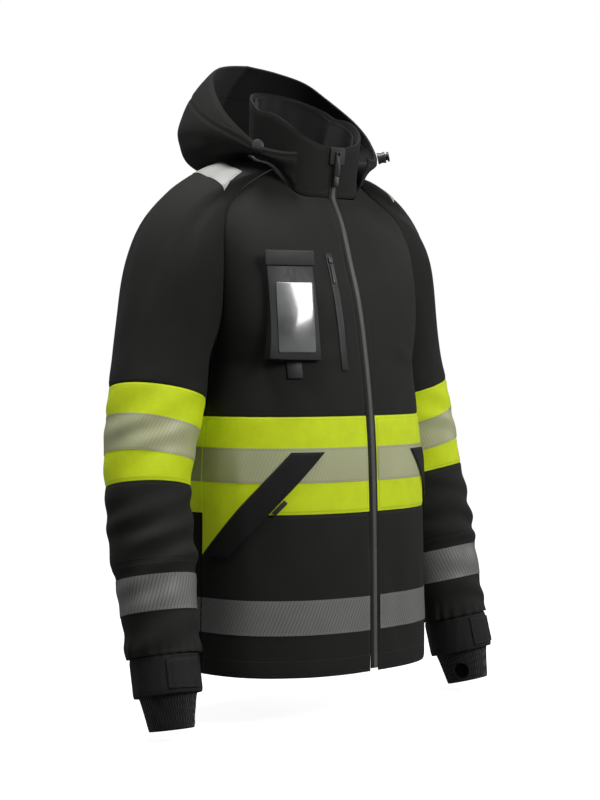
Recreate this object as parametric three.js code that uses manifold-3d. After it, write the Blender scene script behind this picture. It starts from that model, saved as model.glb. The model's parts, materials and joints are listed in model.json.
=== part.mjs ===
// A hooded high-visibility work jacket, built panel by panel in millimetres.
// +Z is up, the wearer faces -Y, and the wearer's left is +X. The origin is the middle of the neck, level
// with the shoulders' inner ends, so every height below it is a length that a garment maker measures.
import * as THREE from "three";
import { mergeVertices } from "three/addons/utils/BufferGeometryUtils.js";
import Module from "manifold-3d";

const wasm = await Module();
wasm.setup();

// ---------------------------------------------------------------- driving dimensions
// Heights below the neck
const ARMPIT_Z = -315; // where sleeve, front and back meet
const BAND_TOP_Z = -392; // upper edge of the fluorescent band
const BAND_MARGIN = 45; // fluorescent cloth above and below the waist tape
const TAPE_WIDTH = 50; // every reflective tape
const HEM_TAPE_Z = -655; // upper edge of the tape near the hem
const HEM_Z = -766; // lower edge of the jacket
// Torso
const CHEST_HALF_WIDTH = 180; // at the armpit
const WAIST_HALF_WIDTH = 195;
const HEM_HALF_WIDTH = 200;
const FRONT_DEPTH = 156; // belly, in front of the origin
const BACK_DEPTH = 146; // shoulder blades, behind the origin
const SIDE_Y = 5; // side seam
const SQUARENESS = 0.8; // exponent of the section's sine and cosine; 1 is an ellipse
// Neck and collar
const NECK_HALF_WIDTH = 78;
const NECK_HALF_DEPTH = 71;
const NECK_SQUARENESS = 0.6; // the same exponent for the front of the neck seam and collar
const NECK_DROP = 72; // the front of the neck seam lies this much below its back
const COLLAR_FRONT = 74; // collar height at the zip
const COLLAR_BACK = 94;
const COLLAR_LEAN = 12; // the collar's front leans forward by this
// Cloth
const SHELL = 4; // outer cloth with its wadding
const LAYER = 0.6; // clearance between two layers that lie on each other
const SEAM = 0.4; // clearance between two edges that are sewn together
const TAPE = 0.8; // thickness of reflective tape
const BINDING = 1.6; // thickness of doubled trimming cloth
// Front zip
const ZIP_HALF = 8.6; // half the strip that shows between the fronts
const TEETH_HALF = 3.6;
const TEETH_RISE = 1.4; // the teeth stand this far out of the cloth's surface
// Sleeves
const BAND_START = new THREE.Vector3(262, 28, -360); // middle of the ring where the fluorescent band begins
const ELBOW = new THREE.Vector3(292, 15, -478);
const FOREARM = new THREE.Vector3(303, -14, -610);
const WRIST = new THREE.Vector3(316, -64, -825);
const SLEEVE_BAND = 136; // its length along the arm
const SLEEVE_MARGIN = 45; // fluorescent cloth above the sleeve's tape
const ELBOW_LENGTH = 110; // the stretch that folds when the arm bends
const FOREARM_TAPE_AT = 266; // along the arm from the band's top
const SLEEVE_LENGTH = 376; // from the band's top to the gathered end
const CUFF_LENGTH = 55;
const RIB_END_RADIUS = 32;
const THUMB_HOLE_RADIUS = 12;

const radians = THREE.MathUtils.degToRad;
const vec = (x, y, z) => new THREE.Vector3(x, y, z);
const blend = THREE.MathUtils.lerp;
const ease = (t) => THREE.MathUtils.smoothstep(t, 0, 1);
const steps = (from, to, count) => Array.from({ length: count + 1 }, (_, i) => blend(from, to, i / count));

// ---------------------------------------------------------------- materials
const cloth = (color, roughness = 0.85) => new THREE.MeshStandardMaterial({ color, roughness, metalness: 0 });
const BLACK = cloth(0x26272a);
const YELLOW = cloth(0xb8dc14, 0.7);
const SILVER = cloth(0x9c9c96, 0.45);
const RIB_CLOTH = cloth(0x303133);
const PLASTIC = cloth(0x1a1a1a, 0.4);
const METAL = new THREE.MeshStandardMaterial({ color: 0x4a4a4a, roughness: 0.4, metalness: 0.8 });
const WINDOW = cloth(0x8d8f8c, 0.15);

const jacket = new THREE.Group();

function add(name, geometry, material, mirrored = false) {
  const mesh = new THREE.Mesh(geometry, material);
  mesh.name = name;
  if (mirrored) mesh.scale.x = -1;
  jacket.add(mesh);
  return mesh;
}

// Every paired piece is drawn on the wearer's left and mirrored to the right.
function addPair(name, geometry, material) {
  add(`${name}_left`, geometry, material);
  add(`${name}_right`, geometry, material, true);
}

// ---------------------------------------------------------------- cloth from a surface
// A surface is a function (u, v) -> point. Its normal comes from two short steps on it.
function normalAt(surface, u, v, du, dv) {
  const alongU = surface(u + du, v).sub(surface(u - du, v));
  const alongV = surface(u, v + dv).sub(surface(u, v - dv));
  return alongU.cross(alongV).normalize();
}

// A closed solid between two offsets of a surface, over a grid of us by vs. Offsets count along the
// normal, which flip turns round where the parameters run the other way. ring joins the last u to the first.
// normal(u, v) overrides the surface's own.
function skin(surface, us, vs, inner, outer, { flip = false, ring = false, normal = null } = {}) {
  const sign = flip ? -1 : 1;
  const columns = us.length;
  const rows = vs.length;
  const points = [];
  for (const offset of [outer, inner]) {
    for (const v of vs) {
      for (const u of us) {
        const depth = typeof offset === "function" ? offset(u, v) : offset;
        const facing = normal ? normal(u, v) : normalAt(surface, u, v, 0.01, 0.01).multiplyScalar(sign);
        points.push(surface(u, v).addScaledVector(facing.clone(), depth));
      }
    }
  }
  const at = (layer, i, j) => layer * columns * rows + j * columns + (i % columns);
  const faces = [];
  const quad = (a, b, c, d) => faces.push(...(flip ? [a, c, b, a, d, c] : [a, b, c, a, c, d]));
  const spans = ring ? columns : columns - 1;
  for (let i = 0; i < spans; i++) {
    for (let j = 0; j < rows - 1; j++) {
      quad(at(0, i, j), at(0, i + 1, j), at(0, i + 1, j + 1), at(0, i, j + 1));
      quad(at(1, i, j), at(1, i, j + 1), at(1, i + 1, j + 1), at(1, i + 1, j));
    }
    quad(at(1, i, 0), at(1, i + 1, 0), at(0, i + 1, 0), at(0, i, 0));
    quad(at(0, i, rows - 1), at(0, i + 1, rows - 1), at(1, i + 1, rows - 1), at(1, i, rows - 1));
  }
  if (!ring) {
    for (let j = 0; j < rows - 1; j++) {
      const last = columns - 1;
      quad(at(1, 0, j + 1), at(1, 0, j), at(0, 0, j), at(0, 0, j + 1));
      quad(at(0, last, j + 1), at(0, last, j), at(1, last, j), at(1, last, j + 1));
    }
  }
  const geometry = new THREE.BufferGeometry();
  geometry.setFromPoints(points);
  geometry.setIndex(faces);
  return geometry;
}

// ---------------------------------------------------------------- boolean cuts
function solidOf(geometry) {
  const bare = geometry.index ? geometry.toNonIndexed() : geometry.clone();
  bare.deleteAttribute("normal");
  bare.deleteAttribute("uv");
  const merged = mergeVertices(bare, 1e-3);
  const mesh = new wasm.Mesh({
    numProp: 3,
    vertProperties: merged.attributes.position.array,
    triVerts: new Uint32Array(merged.index.array),
  });
  return new wasm.Manifold(mesh);
}

function geometryOf(solid) {
  const mesh = solid.getMesh();
  const geometry = new THREE.BufferGeometry();
  geometry.setAttribute("position", new THREE.BufferAttribute(new Float32Array(mesh.vertProperties), 3));
  geometry.setIndex(new THREE.BufferAttribute(new Uint32Array(mesh.triVerts), 1));
  return geometry;
}

const cut = (geometry, ...tools) =>
  geometryOf(tools.reduce((solid, tool) => solid.subtract(solidOf(tool)), solidOf(geometry)));

// A smooth function through [x, y] stations, flat beyond its ends.
function profile(stations) {
  const line = new THREE.CatmullRomCurve3(stations.map(([x, y]) => vec(x, y, 0)), false, "centripetal");
  const table = line.getPoints(stations.length * 12);
  return (x) => {
    const rising = table[0].x < table[table.length - 1].x;
    const next = table.findIndex((p) => (rising ? p.x >= x : p.x <= x));
    if (next < 0) return table[table.length - 1].y;
    if (next === 0) return table[0].y;
    const [a, b] = [table[next - 1], table[next]];
    return blend(a.y, b.y, (x - a.x) / (b.x - a.x));
  };
}

// ---------------------------------------------------------------- neck and torso
const NECK_CENTRE_Y = 3;
const NECK_BACK_Z = 2;
const FRONT_ARC = 78; // the front panel's share of the neck seam; the sleeve's shoulder begins here
const BACK_ARC = 62; // the back panel's half of the neck seam
const NECK_RISE_AT = 72; // the angle where the neck seam has risen half way
// How square the neck is: as the front panel's rows near it, rounder towards the back.
const neckPower = (degrees) =>
  blend(NECK_SQUARENESS, 1, ease((degrees - FRONT_ARC) / (180 - BACK_ARC - FRONT_ARC)));
function squared(degrees, halfWidth, halfDepth) {
  const a = radians(degrees);
  const power = neckPower(Math.min(degrees, 360 - degrees));
  const bent = (value) => Math.sign(value) * Math.abs(value) ** power;
  return vec(halfWidth * bent(Math.sin(a)), -halfDepth * bent(Math.cos(a)), 0);
}
// The neck seam: angle 0 is its front, 180 its back.
function neckPoint(degrees) {
  const turned = Math.min(Math.abs(degrees), 360 - degrees);
  const drop = NECK_DROP / (1 + (turned / NECK_RISE_AT) ** 5);
  return squared(degrees, NECK_HALF_WIDTH, NECK_HALF_DEPTH).add(vec(0, NECK_CENTRE_Y, NECK_BACK_Z - drop));
}
const FRONT_NECK_Z = neckPoint(0).z;

const halfWidth = profile([
  [HEM_Z, HEM_HALF_WIDTH],
  [blend(BAND_TOP_Z, HEM_Z, 0.5), blend(WAIST_HALF_WIDTH, HEM_HALF_WIDTH, 0.4)],
  [BAND_TOP_Z - 60, WAIST_HALF_WIDTH],
  [BAND_TOP_Z, WAIST_HALF_WIDTH - 5],
  [ARMPIT_Z, CHEST_HALF_WIDTH],
]);
const frontDepth = profile([
  [HEM_Z, FRONT_DEPTH],
  [BAND_TOP_Z - 130, FRONT_DEPTH * 0.98],
  [BAND_TOP_Z - 20, FRONT_DEPTH * 0.95],
  [ARMPIT_Z, FRONT_DEPTH * 0.88],
  [blend(FRONT_NECK_Z, ARMPIT_Z, 0.63), FRONT_DEPTH * 0.78],
  [blend(FRONT_NECK_Z, ARMPIT_Z, 0.39), FRONT_DEPTH * 0.67],
  [FRONT_NECK_Z - 40, FRONT_DEPTH * 0.56],
  [FRONT_NECK_Z, NECK_HALF_DEPTH - NECK_CENTRE_Y],
]);
const backDepth = profile([
  [HEM_Z, BACK_DEPTH * 1.02],
  [BAND_TOP_Z - 60, BACK_DEPTH * 0.97],
  [ARMPIT_Z, BACK_DEPTH],
  [-210, BACK_DEPTH * 0.97],
  [-110, BACK_DEPTH * 0.86],
  [-40, BACK_DEPTH * 0.68],
  [NECK_BACK_Z, NECK_HALF_DEPTH + NECK_CENTRE_Y],
]);

// The armholes run from the armpit to the neck, in front and behind.
const ARMPIT = vec(CHEST_HALF_WIDTH, SIDE_Y, ARMPIT_Z);
const frontArmhole = new THREE.CatmullRomCurve3([
  ARMPIT,
  vec(CHEST_HALF_WIDTH + 8, -28, -252),
  vec(CHEST_HALF_WIDTH + 12, -38, -185),
  vec(CHEST_HALF_WIDTH + 9, -36, -125),
  vec(CHEST_HALF_WIDTH - 5, -29, -90),
  vec(CHEST_HALF_WIDTH - 52, -19, -55),
  neckPoint(FRONT_ARC),
]);
const backArmhole = new THREE.CatmullRomCurve3([
  ARMPIT,
  vec(CHEST_HALF_WIDTH + 6, 44, -252),
  vec(CHEST_HALF_WIDTH + 8, 66, -185),
  vec(CHEST_HALF_WIDTH + 2, 74, -125),
  vec(CHEST_HALF_WIDTH - 15, 70, -86),
  vec(CHEST_HALF_WIDTH - 60, 56, -36),
  neckPoint(180 - BACK_ARC),
]);
const onCurve = (curve, t) => curve.getPointAt(THREE.MathUtils.clamp(t, 0, 1));

// A point on the left half of the front or back. level is a height up to the armpit, and above it runs on
// to 0 at the neck seam. share goes from the centre line (0) to the side seam or armhole (1). Each row is
// part of a squared-off ellipse.
function torsoPoint(front, share, level) {
  const t = Math.max(0, 1 - level / ARMPIT_Z);
  const top = front ? FRONT_NECK_Z : NECK_BACK_Z;
  const centreZ = t > 0 ? blend(ARMPIT_Z, top, t) : level;
  const centreY = front ? -frontDepth(centreZ) : backDepth(centreZ);
  const edge = t > 0 ? onCurve(front ? frontArmhole : backArmhole, t) : vec(halfWidth(level), SIDE_Y, level);
  const fullDegrees = blend(blend(90, 76, ease(t * 2)), front ? FRONT_ARC : BACK_ARC, ease(t * 2 - 1));
  const full = radians(fullDegrees);
  const angle = full * share;
  const power = blend(SQUARENESS, front ? NECK_SQUARENESS : 1, t);
  const across = Math.sign(share) * (Math.sin(Math.abs(angle)) / Math.sin(full)) ** power;
  const floor = 1e-9;
  const bend = (a) => 1 - Math.max(Math.cos(a), floor) ** power;
  const neckAngle = front ? FRONT_ARC * share : 180 - BACK_ARC * share;
  const neckEdge = front ? FRONT_ARC : 180 - BACK_ARC;
  const neckRise = (neckPoint(neckAngle).z - top) / (neckPoint(neckEdge).z - top);
  const rise = t > 0 ? blend(share * share, neckRise, t * t) : 0;
  return vec(edge.x * across, blend(centreY, edge.y, bend(angle) / bend(full)), blend(centreZ, edge.z, rise));
}

// The share at which a front row is x from the centre line.
const shareMemory = new Map();
function shareAtX(x, level) {
  const key = `${x} ${level}`;
  if (shareMemory.has(key)) return shareMemory.get(key);
  let [low, high] = [0, 1];
  for (let i = 0; i < 26; i++) {
    const middle = (low + high) / 2;
    if (torsoPoint(true, middle, level).x < x) low = middle;
    else high = middle;
  }
  shareMemory.set(key, low);
  return low;
}

const ARMHOLE_GAP = 3.2; // clearance between a panel and the sleeve's shoulder, whose edges twist
const COLUMNS = 6; // columns of cloth from the zip to a side seam
const sideGap = (level) => (level > ARMPIT_Z + 1 ? ARMHOLE_GAP : SEAM);
// A row of a panel: the point where a column number, whole or not, lies on it. The last column stops a
// seam's clearance short of the side seam or armhole.
function frontPanel(column, level) {
  const first = shareAtX(ZIP_HALF + SEAM, level);
  const share = blend(first, 1, column / COLUMNS);
  if (column < COLUMNS) return torsoPoint(true, share, level);
  const edge = torsoPoint(true, 1, level);
  return edge.add(torsoPoint(true, 1 - 1 / COLUMNS, level).sub(edge).setLength(sideGap(level)));
}
const mirrorX = (point) => vec(-point.x, point.y, point.z);
function backPanel(column, level) {
  const side = Math.abs(column);
  const point = torsoPoint(false, side / COLUMNS, level);
  if (side >= COLUMNS) {
    const inward = torsoPoint(false, 1 - 1 / COLUMNS, level).sub(point);
    point.add(inward.setLength(sideGap(level)));
  }
  return column < 0 ? mirrorX(point) : point;
}
const frontColumns = steps(0, COLUMNS, COLUMNS);
const backColumns = steps(-COLUMNS, COLUMNS, 2 * COLUMNS);

// ---------------------------------------------------------------- sleeves: the surface they share
const ARMHOLE_ROWS = 8; // rows of cloth between the armpit and the neck
const armStations = [BAND_START, ELBOW, FOREARM, WRIST];
const armLine = new THREE.CatmullRomCurve3(armStations, false, "centripetal");
const ARM_LENGTH = armLine.getLength();
const sleeveRadius = profile([
  [0, 71],
  [SLEEVE_BAND * 0.5, 66],
  [SLEEVE_BAND, 61],
  [SLEEVE_BAND + ELBOW_LENGTH, 60.5],
  [FOREARM_TAPE_AT, 57],
  [SLEEVE_LENGTH, 52],
  [ARM_LENGTH, 52],
]);
const SPOKES = 2 * ARMHOLE_ROWS + 4; // columns of cloth around a sleeve
// Directions across the arm: turn 0 points away from the body, 90 to the front.
function armFrame(along) {
  const u = THREE.MathUtils.clamp(along / ARM_LENGTH, 0, 1);
  const centre = armLine.getPointAt(u);
  const axis = armLine.getTangentAt(u);
  const outward = vec(1, 0, 0).addScaledVector(axis, -axis.x).normalize();
  const forward = outward.clone().cross(axis).normalize();
  if (forward.y > 0) forward.negate();
  return { centre, axis, outward, forward };
}
function armPoint(turn, along, radius) {
  const { centre, outward, forward } = armFrame(along);
  const a = radians(turn);
  return centre.addScaledVector(outward, radius * Math.cos(a)).addScaledVector(forward, radius * Math.sin(a));
}
const tube = (radiusAt) => (turn, along) => armPoint(turn, along, radiusAt(along));
const sleeveTube = tube(sleeveRadius);

// The armhole as a loop of spokes: over the shoulder, down the front, and up the back.
function armholePoint(spoke) {
  const s = ((spoke % SPOKES) + SPOKES) % SPOKES;
  const neckSpan = 180 - BACK_ARC - FRONT_ARC;
  const middle = FRONT_ARC + neckSpan / 2;
  if (s < 1) return neckPoint(middle - (s * neckSpan) / 2);
  if (s > SPOKES - 1) return neckPoint(middle + ((SPOKES - s) * neckSpan) / 2);
  const half = SPOKES / 2;
  if (s <= half) return onCurve(frontArmhole, 1 - (s - 1) / (half - 1));
  return onCurve(backArmhole, (s - half) / (half - 1));
}
// The top of the sleeve, from the armhole (0) to the ring where the fluorescent band begins (1).
const CAP_FULLNESS = 1.62; // how squarely the shoulder turns
function capPoint(spoke, share) {
  const turn = (spoke * 360) / SPOKES;
  const start = armholePoint(spoke);
  const end = sleeveTube(turn, 0);
  const reach = end.distanceTo(start);
  const high = (1 + Math.cos(radians(turn))) / 2;
  const leave = vec(1, Math.sin(radians(turn)) * -0.22, blend(-0.9, -0.2, high ** 0.7)).normalize();
  const arrive = armFrame(0).axis;
  leave.multiplyScalar(reach * blend(0.75, CAP_FULLNESS, high));
  arrive.multiplyScalar(reach * blend(0.8, CAP_FULLNESS * 0.93, high));
  const [s, s2, s3] = [share, share ** 2, share ** 3];
  return start
    .multiplyScalar(2 * s3 - 3 * s2 + 1)
    .addScaledVector(leave, s3 - 2 * s2 + s)
    .addScaledVector(end, 3 * s2 - 2 * s3)
    .addScaledVector(arrive, s3 - s2);
}

// Where the sleeve is sewn to the body, both cloths share the mean of their two normals.
const torsoNormal = (front, share, level) =>
  normalAt((s, l) => torsoPoint(front, s, l), share, level, 0.004, 0.5).multiplyScalar(front ? 1 : -1);
const capNormal = (spoke, share) => normalAt(capPoint, spoke, share, 0.1, 0.004);
function seamNormal(spoke) {
  const half = SPOKES / 2;
  const own = capNormal(spoke, 0.02);
  if (spoke < 1 || spoke > SPOKES - 1) return own;
  const front = spoke <= half;
  const t = front ? 1 - (spoke - 1) / (half - 1) : (spoke - half) / (half - 1);
  const level = blend(ARMPIT_Z, 0, t);
  return own.add(torsoNormal(front, 0.97, level)).normalize();
}
const spokeOf = (front, level) => {
  const t = Math.max(0, 1 - level / ARMPIT_Z);
  const half = SPOKES / 2;
  return front ? 1 + (1 - t) * (half - 1) : half + t * (half - 1);
};
const panelNormal = (front) => (column, level) => {
  const share = Math.min(0.97, Math.abs(column) / COLUMNS);
  const seam = Math.abs(column) >= COLUMNS && level > ARMPIT_Z - 1;
  const normal = seam ? seamNormal(spokeOf(front, level)) : torsoNormal(front, share, level);
  return column < 0 ? mirrorX(normal) : normal;
};

// ---------------------------------------------------------------- torso pieces
const BAND_BOTTOM_Z = BAND_TOP_Z - 2 * BAND_MARGIN - TAPE_WIDTH;
const WAIST_TAPE_Z = BAND_TOP_Z - BAND_MARGIN;
const chestLevels = [
  BAND_TOP_Z + SEAM,
  blend(BAND_TOP_Z, ARMPIT_Z, 0.5),
  ...steps(ARMPIT_Z, -SEAM, ARMHOLE_ROWS),
];
const chestOptions = { normal: panelNormal(true) };
addPair("chest_panel", skin(frontPanel, frontColumns, chestLevels, -SHELL, 0, chestOptions), BLACK);
const backOptions = { normal: panelNormal(false), flip: true };
add("back_panel", skin(backPanel, backColumns, chestLevels, -SHELL, 0, backOptions), BLACK);

// The front band's lower edge drops under the pocket welt towards the side seam.
const POCKET_DROP = 66;
const POCKET_COLUMN = 4;
const bandEdge = (column) =>
  BAND_BOTTOM_Z - (POCKET_DROP * Math.max(0, column - POCKET_COLUMN)) / (COLUMNS - POCKET_COLUMN);
// A row numbered from 0 lies on the level that its function gives for the column.
const rowsOf = (panel, levels) => (column, row) => {
  const below = Math.min(Math.floor(row), levels.length - 2);
  return panel(column, blend(levels[below](column), levels[below + 1](column), row - below));
};
const flat = (level) => () => level;
function addRows(name, front, levels, inner, outer, material) {
  const panel = front ? frontPanel : backPanel;
  const columns = front ? frontColumns : backColumns;
  const surface = rowsOf(panel, levels);
  const normal = (column, row) => panelNormal(front)(column, levels[row](column));
  const rows = levels.map((_, row) => row);
  const geometry = skin(surface, columns, rows, inner, outer, { normal, flip: !front });
  if (front) addPair(name, geometry, material);
  else add(`${name}_back`, geometry, material);
}
const waistTape = [flat(WAIST_TAPE_Z - TAPE_WIDTH), flat(WAIST_TAPE_Z)];
const hemTape = [flat(HEM_TAPE_Z - TAPE_WIDTH), flat(HEM_TAPE_Z)];
for (const front of [true, false]) {
  const edge = front ? bandEdge : flat(BAND_BOTTOM_Z);
  addRows("waist_band", front, [edge, ...waistTape, flat(BAND_TOP_Z)], -SHELL, 0, YELLOW);
  const skirtTop = (column) => edge(column) - SEAM;
  addRows("skirt_panel", front, [flat(HEM_Z), ...hemTape, skirtTop], -SHELL, 0, BLACK);
  addRows("waist_tape", front, waistTape, LAYER, LAYER + TAPE, SILVER);
  addRows("hem_tape", front, hemTape, LAYER, LAYER + TAPE, SILVER);
}

// ---------------------------------------------------------------- collar
const collarAngles = () => {
  const start = FRONT_ARC * shareAtX(ZIP_HALF + SEAM, -SEAM);
  const front = steps(start, FRONT_ARC, COLUMNS);
  const side = [(FRONT_ARC + 180 - BACK_ARC) / 2];
  const back = steps(180 - BACK_ARC, 180, COLUMNS);
  const half = [...front, ...side, ...back];
  return [...half, ...half.slice(0, -1).reverse().map((a) => 360 - a)];
};
const COLLAR_FLARE = 4; // the collar's top is this much wider than its foot
function collarPoint(degrees, share) {
  const a = radians(degrees);
  const base = neckPoint(degrees);
  const height = blend(COLLAR_FRONT, COLLAR_BACK, ((1 - Math.cos(a)) / 2) ** 0.8);
  const foot = blend(FRONT_NECK_Z, NECK_BACK_Z, ((1 - Math.cos(a)) / 2) ** 0.8);
  const top = squared(degrees, NECK_HALF_WIDTH + COLLAR_FLARE, NECK_HALF_DEPTH + COLLAR_FLARE);
  top.add(vec(0, NECK_CENTRE_Y - COLLAR_LEAN / 2, foot + height));
  return base.lerp(top, share);
}
const COLLAR_GAP = 0.006; // the collar stands clear of the neck seam by this share of its height
const collarRows = [COLLAR_GAP, 0.35, 0.7, 1];
const collarNormal = (degrees, share) => {
  const a = radians(degrees);
  return vec(Math.sin(a), -Math.cos(a), share > 0.9 ? 0.2 : 0).normalize();
};
add("collar", skin(collarPoint, collarAngles(), collarRows, -SHELL, 0, { normal: collarNormal }), BLACK);

// ---------------------------------------------------------------- front zip
const COLLAR_TOP = collarPoint(0, 1);
const frontLine = (z) => (z > FRONT_NECK_Z
  ? blend(-frontDepth(FRONT_NECK_Z), COLLAR_TOP.y, (z - FRONT_NECK_Z) / (COLLAR_TOP.z - FRONT_NECK_Z))
  : -frontDepth(z));
const ZIP_TOP_GAP = 6;
const ZIP_FOOT_GAP = 4; // the zip ends this far above the hem
const torsoHeights = steps(HEM_Z + ZIP_FOOT_GAP, FRONT_NECK_Z, 16);
const zipHeights = [...torsoHeights, ...steps(FRONT_NECK_Z, COLLAR_TOP.z - ZIP_TOP_GAP, 3).slice(1)];
const TEETH_EDGE = TEETH_HALF + SEAM;
const ZIP_TAPE_DEPTH = 0.4; // the woven strip beside the teeth lies this far below the cloth's surface
const zipOffset = (x) => (x < TEETH_EDGE ? TEETH_RISE : -ZIP_TAPE_DEPTH);
const zipSurface = (x, z) => vec(x, frontLine(z), z);
const zipNormal = (x, z) => {
  const slope = frontLine(z + 1) - frontLine(z - 1);
  return vec(0, -2, slope).normalize();
};
const ZIP_BACK = -1.8;
const zipColumns = [SEAM / 2, TEETH_HALF, TEETH_EDGE, ZIP_HALF];
const zipOptions = { normal: zipNormal };
addPair("zip_half", skin(zipSurface, zipColumns, zipHeights, ZIP_BACK, zipOffset, zipOptions), METAL);

const HOLE_DROP = 1.6; // a hole's centre lies this many of its radii below the plate's top
// A box whose front faces out of a surface: width across, height up the surface, depth out of it.
function plate(width, height, depth, point, normal, lift, { radius = 0, hole = 0, roll = 0 } = {}) {
  const shape = new THREE.Shape();
  const [w, h, r] = [width / 2, height / 2, Math.max(radius, 0.01)];
  shape.moveTo(-w + r, -h);
  shape.lineTo(w - r, -h);
  shape.absarc(w - r, -h + r, r, -Math.PI / 2, 0);
  shape.lineTo(w, h - r);
  shape.absarc(w - r, h - r, r, 0, Math.PI / 2);
  shape.lineTo(-w + r, h);
  shape.absarc(-w + r, h - r, r, Math.PI / 2, Math.PI);
  shape.lineTo(-w, -h + r);
  shape.absarc(-w + r, -h + r, r, Math.PI, Math.PI * 1.5);
  if (hole > 0) {
    const bore = new THREE.Path();
    bore.absarc(0, h - hole * HOLE_DROP, hole, 0, Math.PI * 2, true);
    shape.holes.push(bore);
  }
  const cornerSegments = radius > 0 ? 3 : 1;
  const curveSegments = hole > 0 ? 8 : cornerSegments;
  const geometry = new THREE.ExtrudeGeometry(shape, { depth, bevelEnabled: false, curveSegments });
  const zAxis = normal.clone().normalize();
  const xAxis = vec(0, 0, 1).cross(zAxis).normalize();
  const yAxis = zAxis.clone().cross(xAxis);
  geometry.rotateZ(radians(roll));
  const placed = new THREE.Matrix4().makeBasis(xAxis, yAxis, zAxis);
  placed.setPosition(point.clone().addScaledVector(zAxis, lift));
  geometry.applyMatrix4(placed);
  return geometry;
}
const FIT = 0.3; // clearance between hard pieces
const SLIDER_Z = -46;
const SLIDER_SIZE = [10, 15, 4];
const sliderPoint = zipSurface(0, SLIDER_Z);
const sliderNormal = zipNormal(0, SLIDER_Z);
const sliderLift = TEETH_RISE + FIT;
add("zip_slider", plate(...SLIDER_SIZE, sliderPoint, sliderNormal, sliderLift, { radius: 2 }), METAL);
const PULLER_SIZE = [11, 36, 1.8];
const pullerPoint = zipSurface(0, SLIDER_Z + SLIDER_SIZE[1] / 2 + FIT + PULLER_SIZE[1] / 2);
const GUARD_SIZE = [30, 26, 1.6]; // a fold of cloth over the top of the zip, behind the puller
const pullerLift = sliderLift + GUARD_SIZE[2] + FIT;
const pullerShape = { radius: 2.5, hole: 2.6 };
add("zip_puller", plate(...PULLER_SIZE, pullerPoint, sliderNormal, pullerLift, pullerShape), METAL);
const guardPoint = zipSurface(0, COLLAR_TOP.z - GUARD_SIZE[1] / 2);
add("chin_guard", plate(...GUARD_SIZE, guardPoint, sliderNormal, sliderLift, { radius: 3 }), BLACK);

// ---------------------------------------------------------------- pieces on the chest
// The front's point at a given x and height, and the way the cloth faces there.
function frontAt(x, z) {
  let [low, high] = [z - 60, Math.min(0, z + 60)];
  if (z <= ARMPIT_Z - 40) return torsoPoint(true, shareAtX(x, z), z);
  for (let i = 0; i < 22; i++) {
    const middle = (low + high) / 2;
    if (torsoPoint(true, shareAtX(x, middle), middle).z < z) low = middle;
    else high = middle;
  }
  return torsoPoint(true, shareAtX(x, low), low);
}
const frontPatch = (x, z) => frontAt(x, z);
const frontNormal = (x, z) => normalAt(frontPatch, x, z, 2, 2);
// Pieces on one side of the chest are drawn at positive x and mirrored to the wearer's right.
const RIGHT = true;
const ON_CLOTH = 1.2; // clearance above the cloth behind, whose columns are further apart
function patch(xs, zs, inner, outer) {
  return skin(frontPatch, xs, zs, inner, outer, { normal: frontNormal });
}

const CHEST_ZIP_X = 45;
const CHEST_ZIP_Z = [-326, -156];
const CHEST_ZIP_WIDTH = 12;
const chestZipXs = steps(CHEST_ZIP_X - CHEST_ZIP_WIDTH / 2, CHEST_ZIP_X + CHEST_ZIP_WIDTH / 2, 2);
const WELT_RISE = 2.2;
add("chest_zip", patch(chestZipXs, steps(...CHEST_ZIP_Z, 5), ON_CLOTH, WELT_RISE), PLASTIC, RIGHT);
const CHEST_SLIDER_SIZE = [7, 10, 2.6];
const CHEST_SLIDER_Z = CHEST_ZIP_Z[1] - 10;
const chestSliderPoint = frontAt(CHEST_ZIP_X, CHEST_SLIDER_Z);
const chestSliderNormal = frontNormal(CHEST_ZIP_X, CHEST_SLIDER_Z);
const chestLift = WELT_RISE + FIT;
const smallCorners = { radius: 1.5 };
const chestSlider = plate(...CHEST_SLIDER_SIZE, chestSliderPoint, chestSliderNormal, chestLift, smallCorners);
add("chest_zip_slider", chestSlider, METAL, RIGHT);
const CHEST_PULLER_SIZE = [6, 30, 1.4];
const CHEST_PULLER_Z = CHEST_SLIDER_Z - CHEST_SLIDER_SIZE[1] / 2 - FIT - CHEST_PULLER_SIZE[1] / 2;
const chestPullerPoint = frontAt(CHEST_ZIP_X, CHEST_PULLER_Z);
const chestPullerNormal = frontNormal(CHEST_ZIP_X, CHEST_PULLER_Z);
const pullerRise = chestLift + LAYER;
const chestPullerPlace = [chestPullerPoint, chestPullerNormal, pullerRise];
const chestPuller = plate(...CHEST_PULLER_SIZE, ...chestPullerPlace, smallCorners);
add("chest_zip_puller", chestPuller, METAL, RIGHT);

// The badge holder: a flat-fronted pocket with a clear window, a flap over its top and a loop below.
const BADGE_X = 124;
const BADGE_TOP = -174;
const BADGE_SIZE = [69, 138]; // width and height of the holder
const WINDOW_SIZE = [58, 101, 1.2];
const WINDOW_DROP = 26; // the window's top edge, below the holder's
const badgeMiddle = BADGE_TOP - BADGE_SIZE[1] / 2;
const badgeNormal = frontNormal(BADGE_X, badgeMiddle);
const BADGE_DEPTH = 6.5; // the flat front, out from the cloth behind its middle
const badgeFront = frontAt(BADGE_X, badgeMiddle).addScaledVector(badgeNormal, BADGE_DEPTH);
const badgeXs = steps(BADGE_X - BADGE_SIZE[0] / 2, BADGE_X + BADGE_SIZE[0] / 2, 4);
const badgeZs = steps(BADGE_TOP - BADGE_SIZE[1], BADGE_TOP, 5);
const toBadgeFront = (x, z) => badgeFront.clone().sub(frontAt(x, z)).dot(badgeNormal);
const badge = skin(frontPatch, badgeXs, badgeZs, ON_CLOTH, toBadgeFront, { normal: () => badgeNormal });
add("id_pocket", badge, PLASTIC, RIGHT);
const windowZ = BADGE_TOP - WINDOW_DROP - WINDOW_SIZE[1] / 2;
const windowPoint = frontAt(BADGE_X, windowZ);
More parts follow.
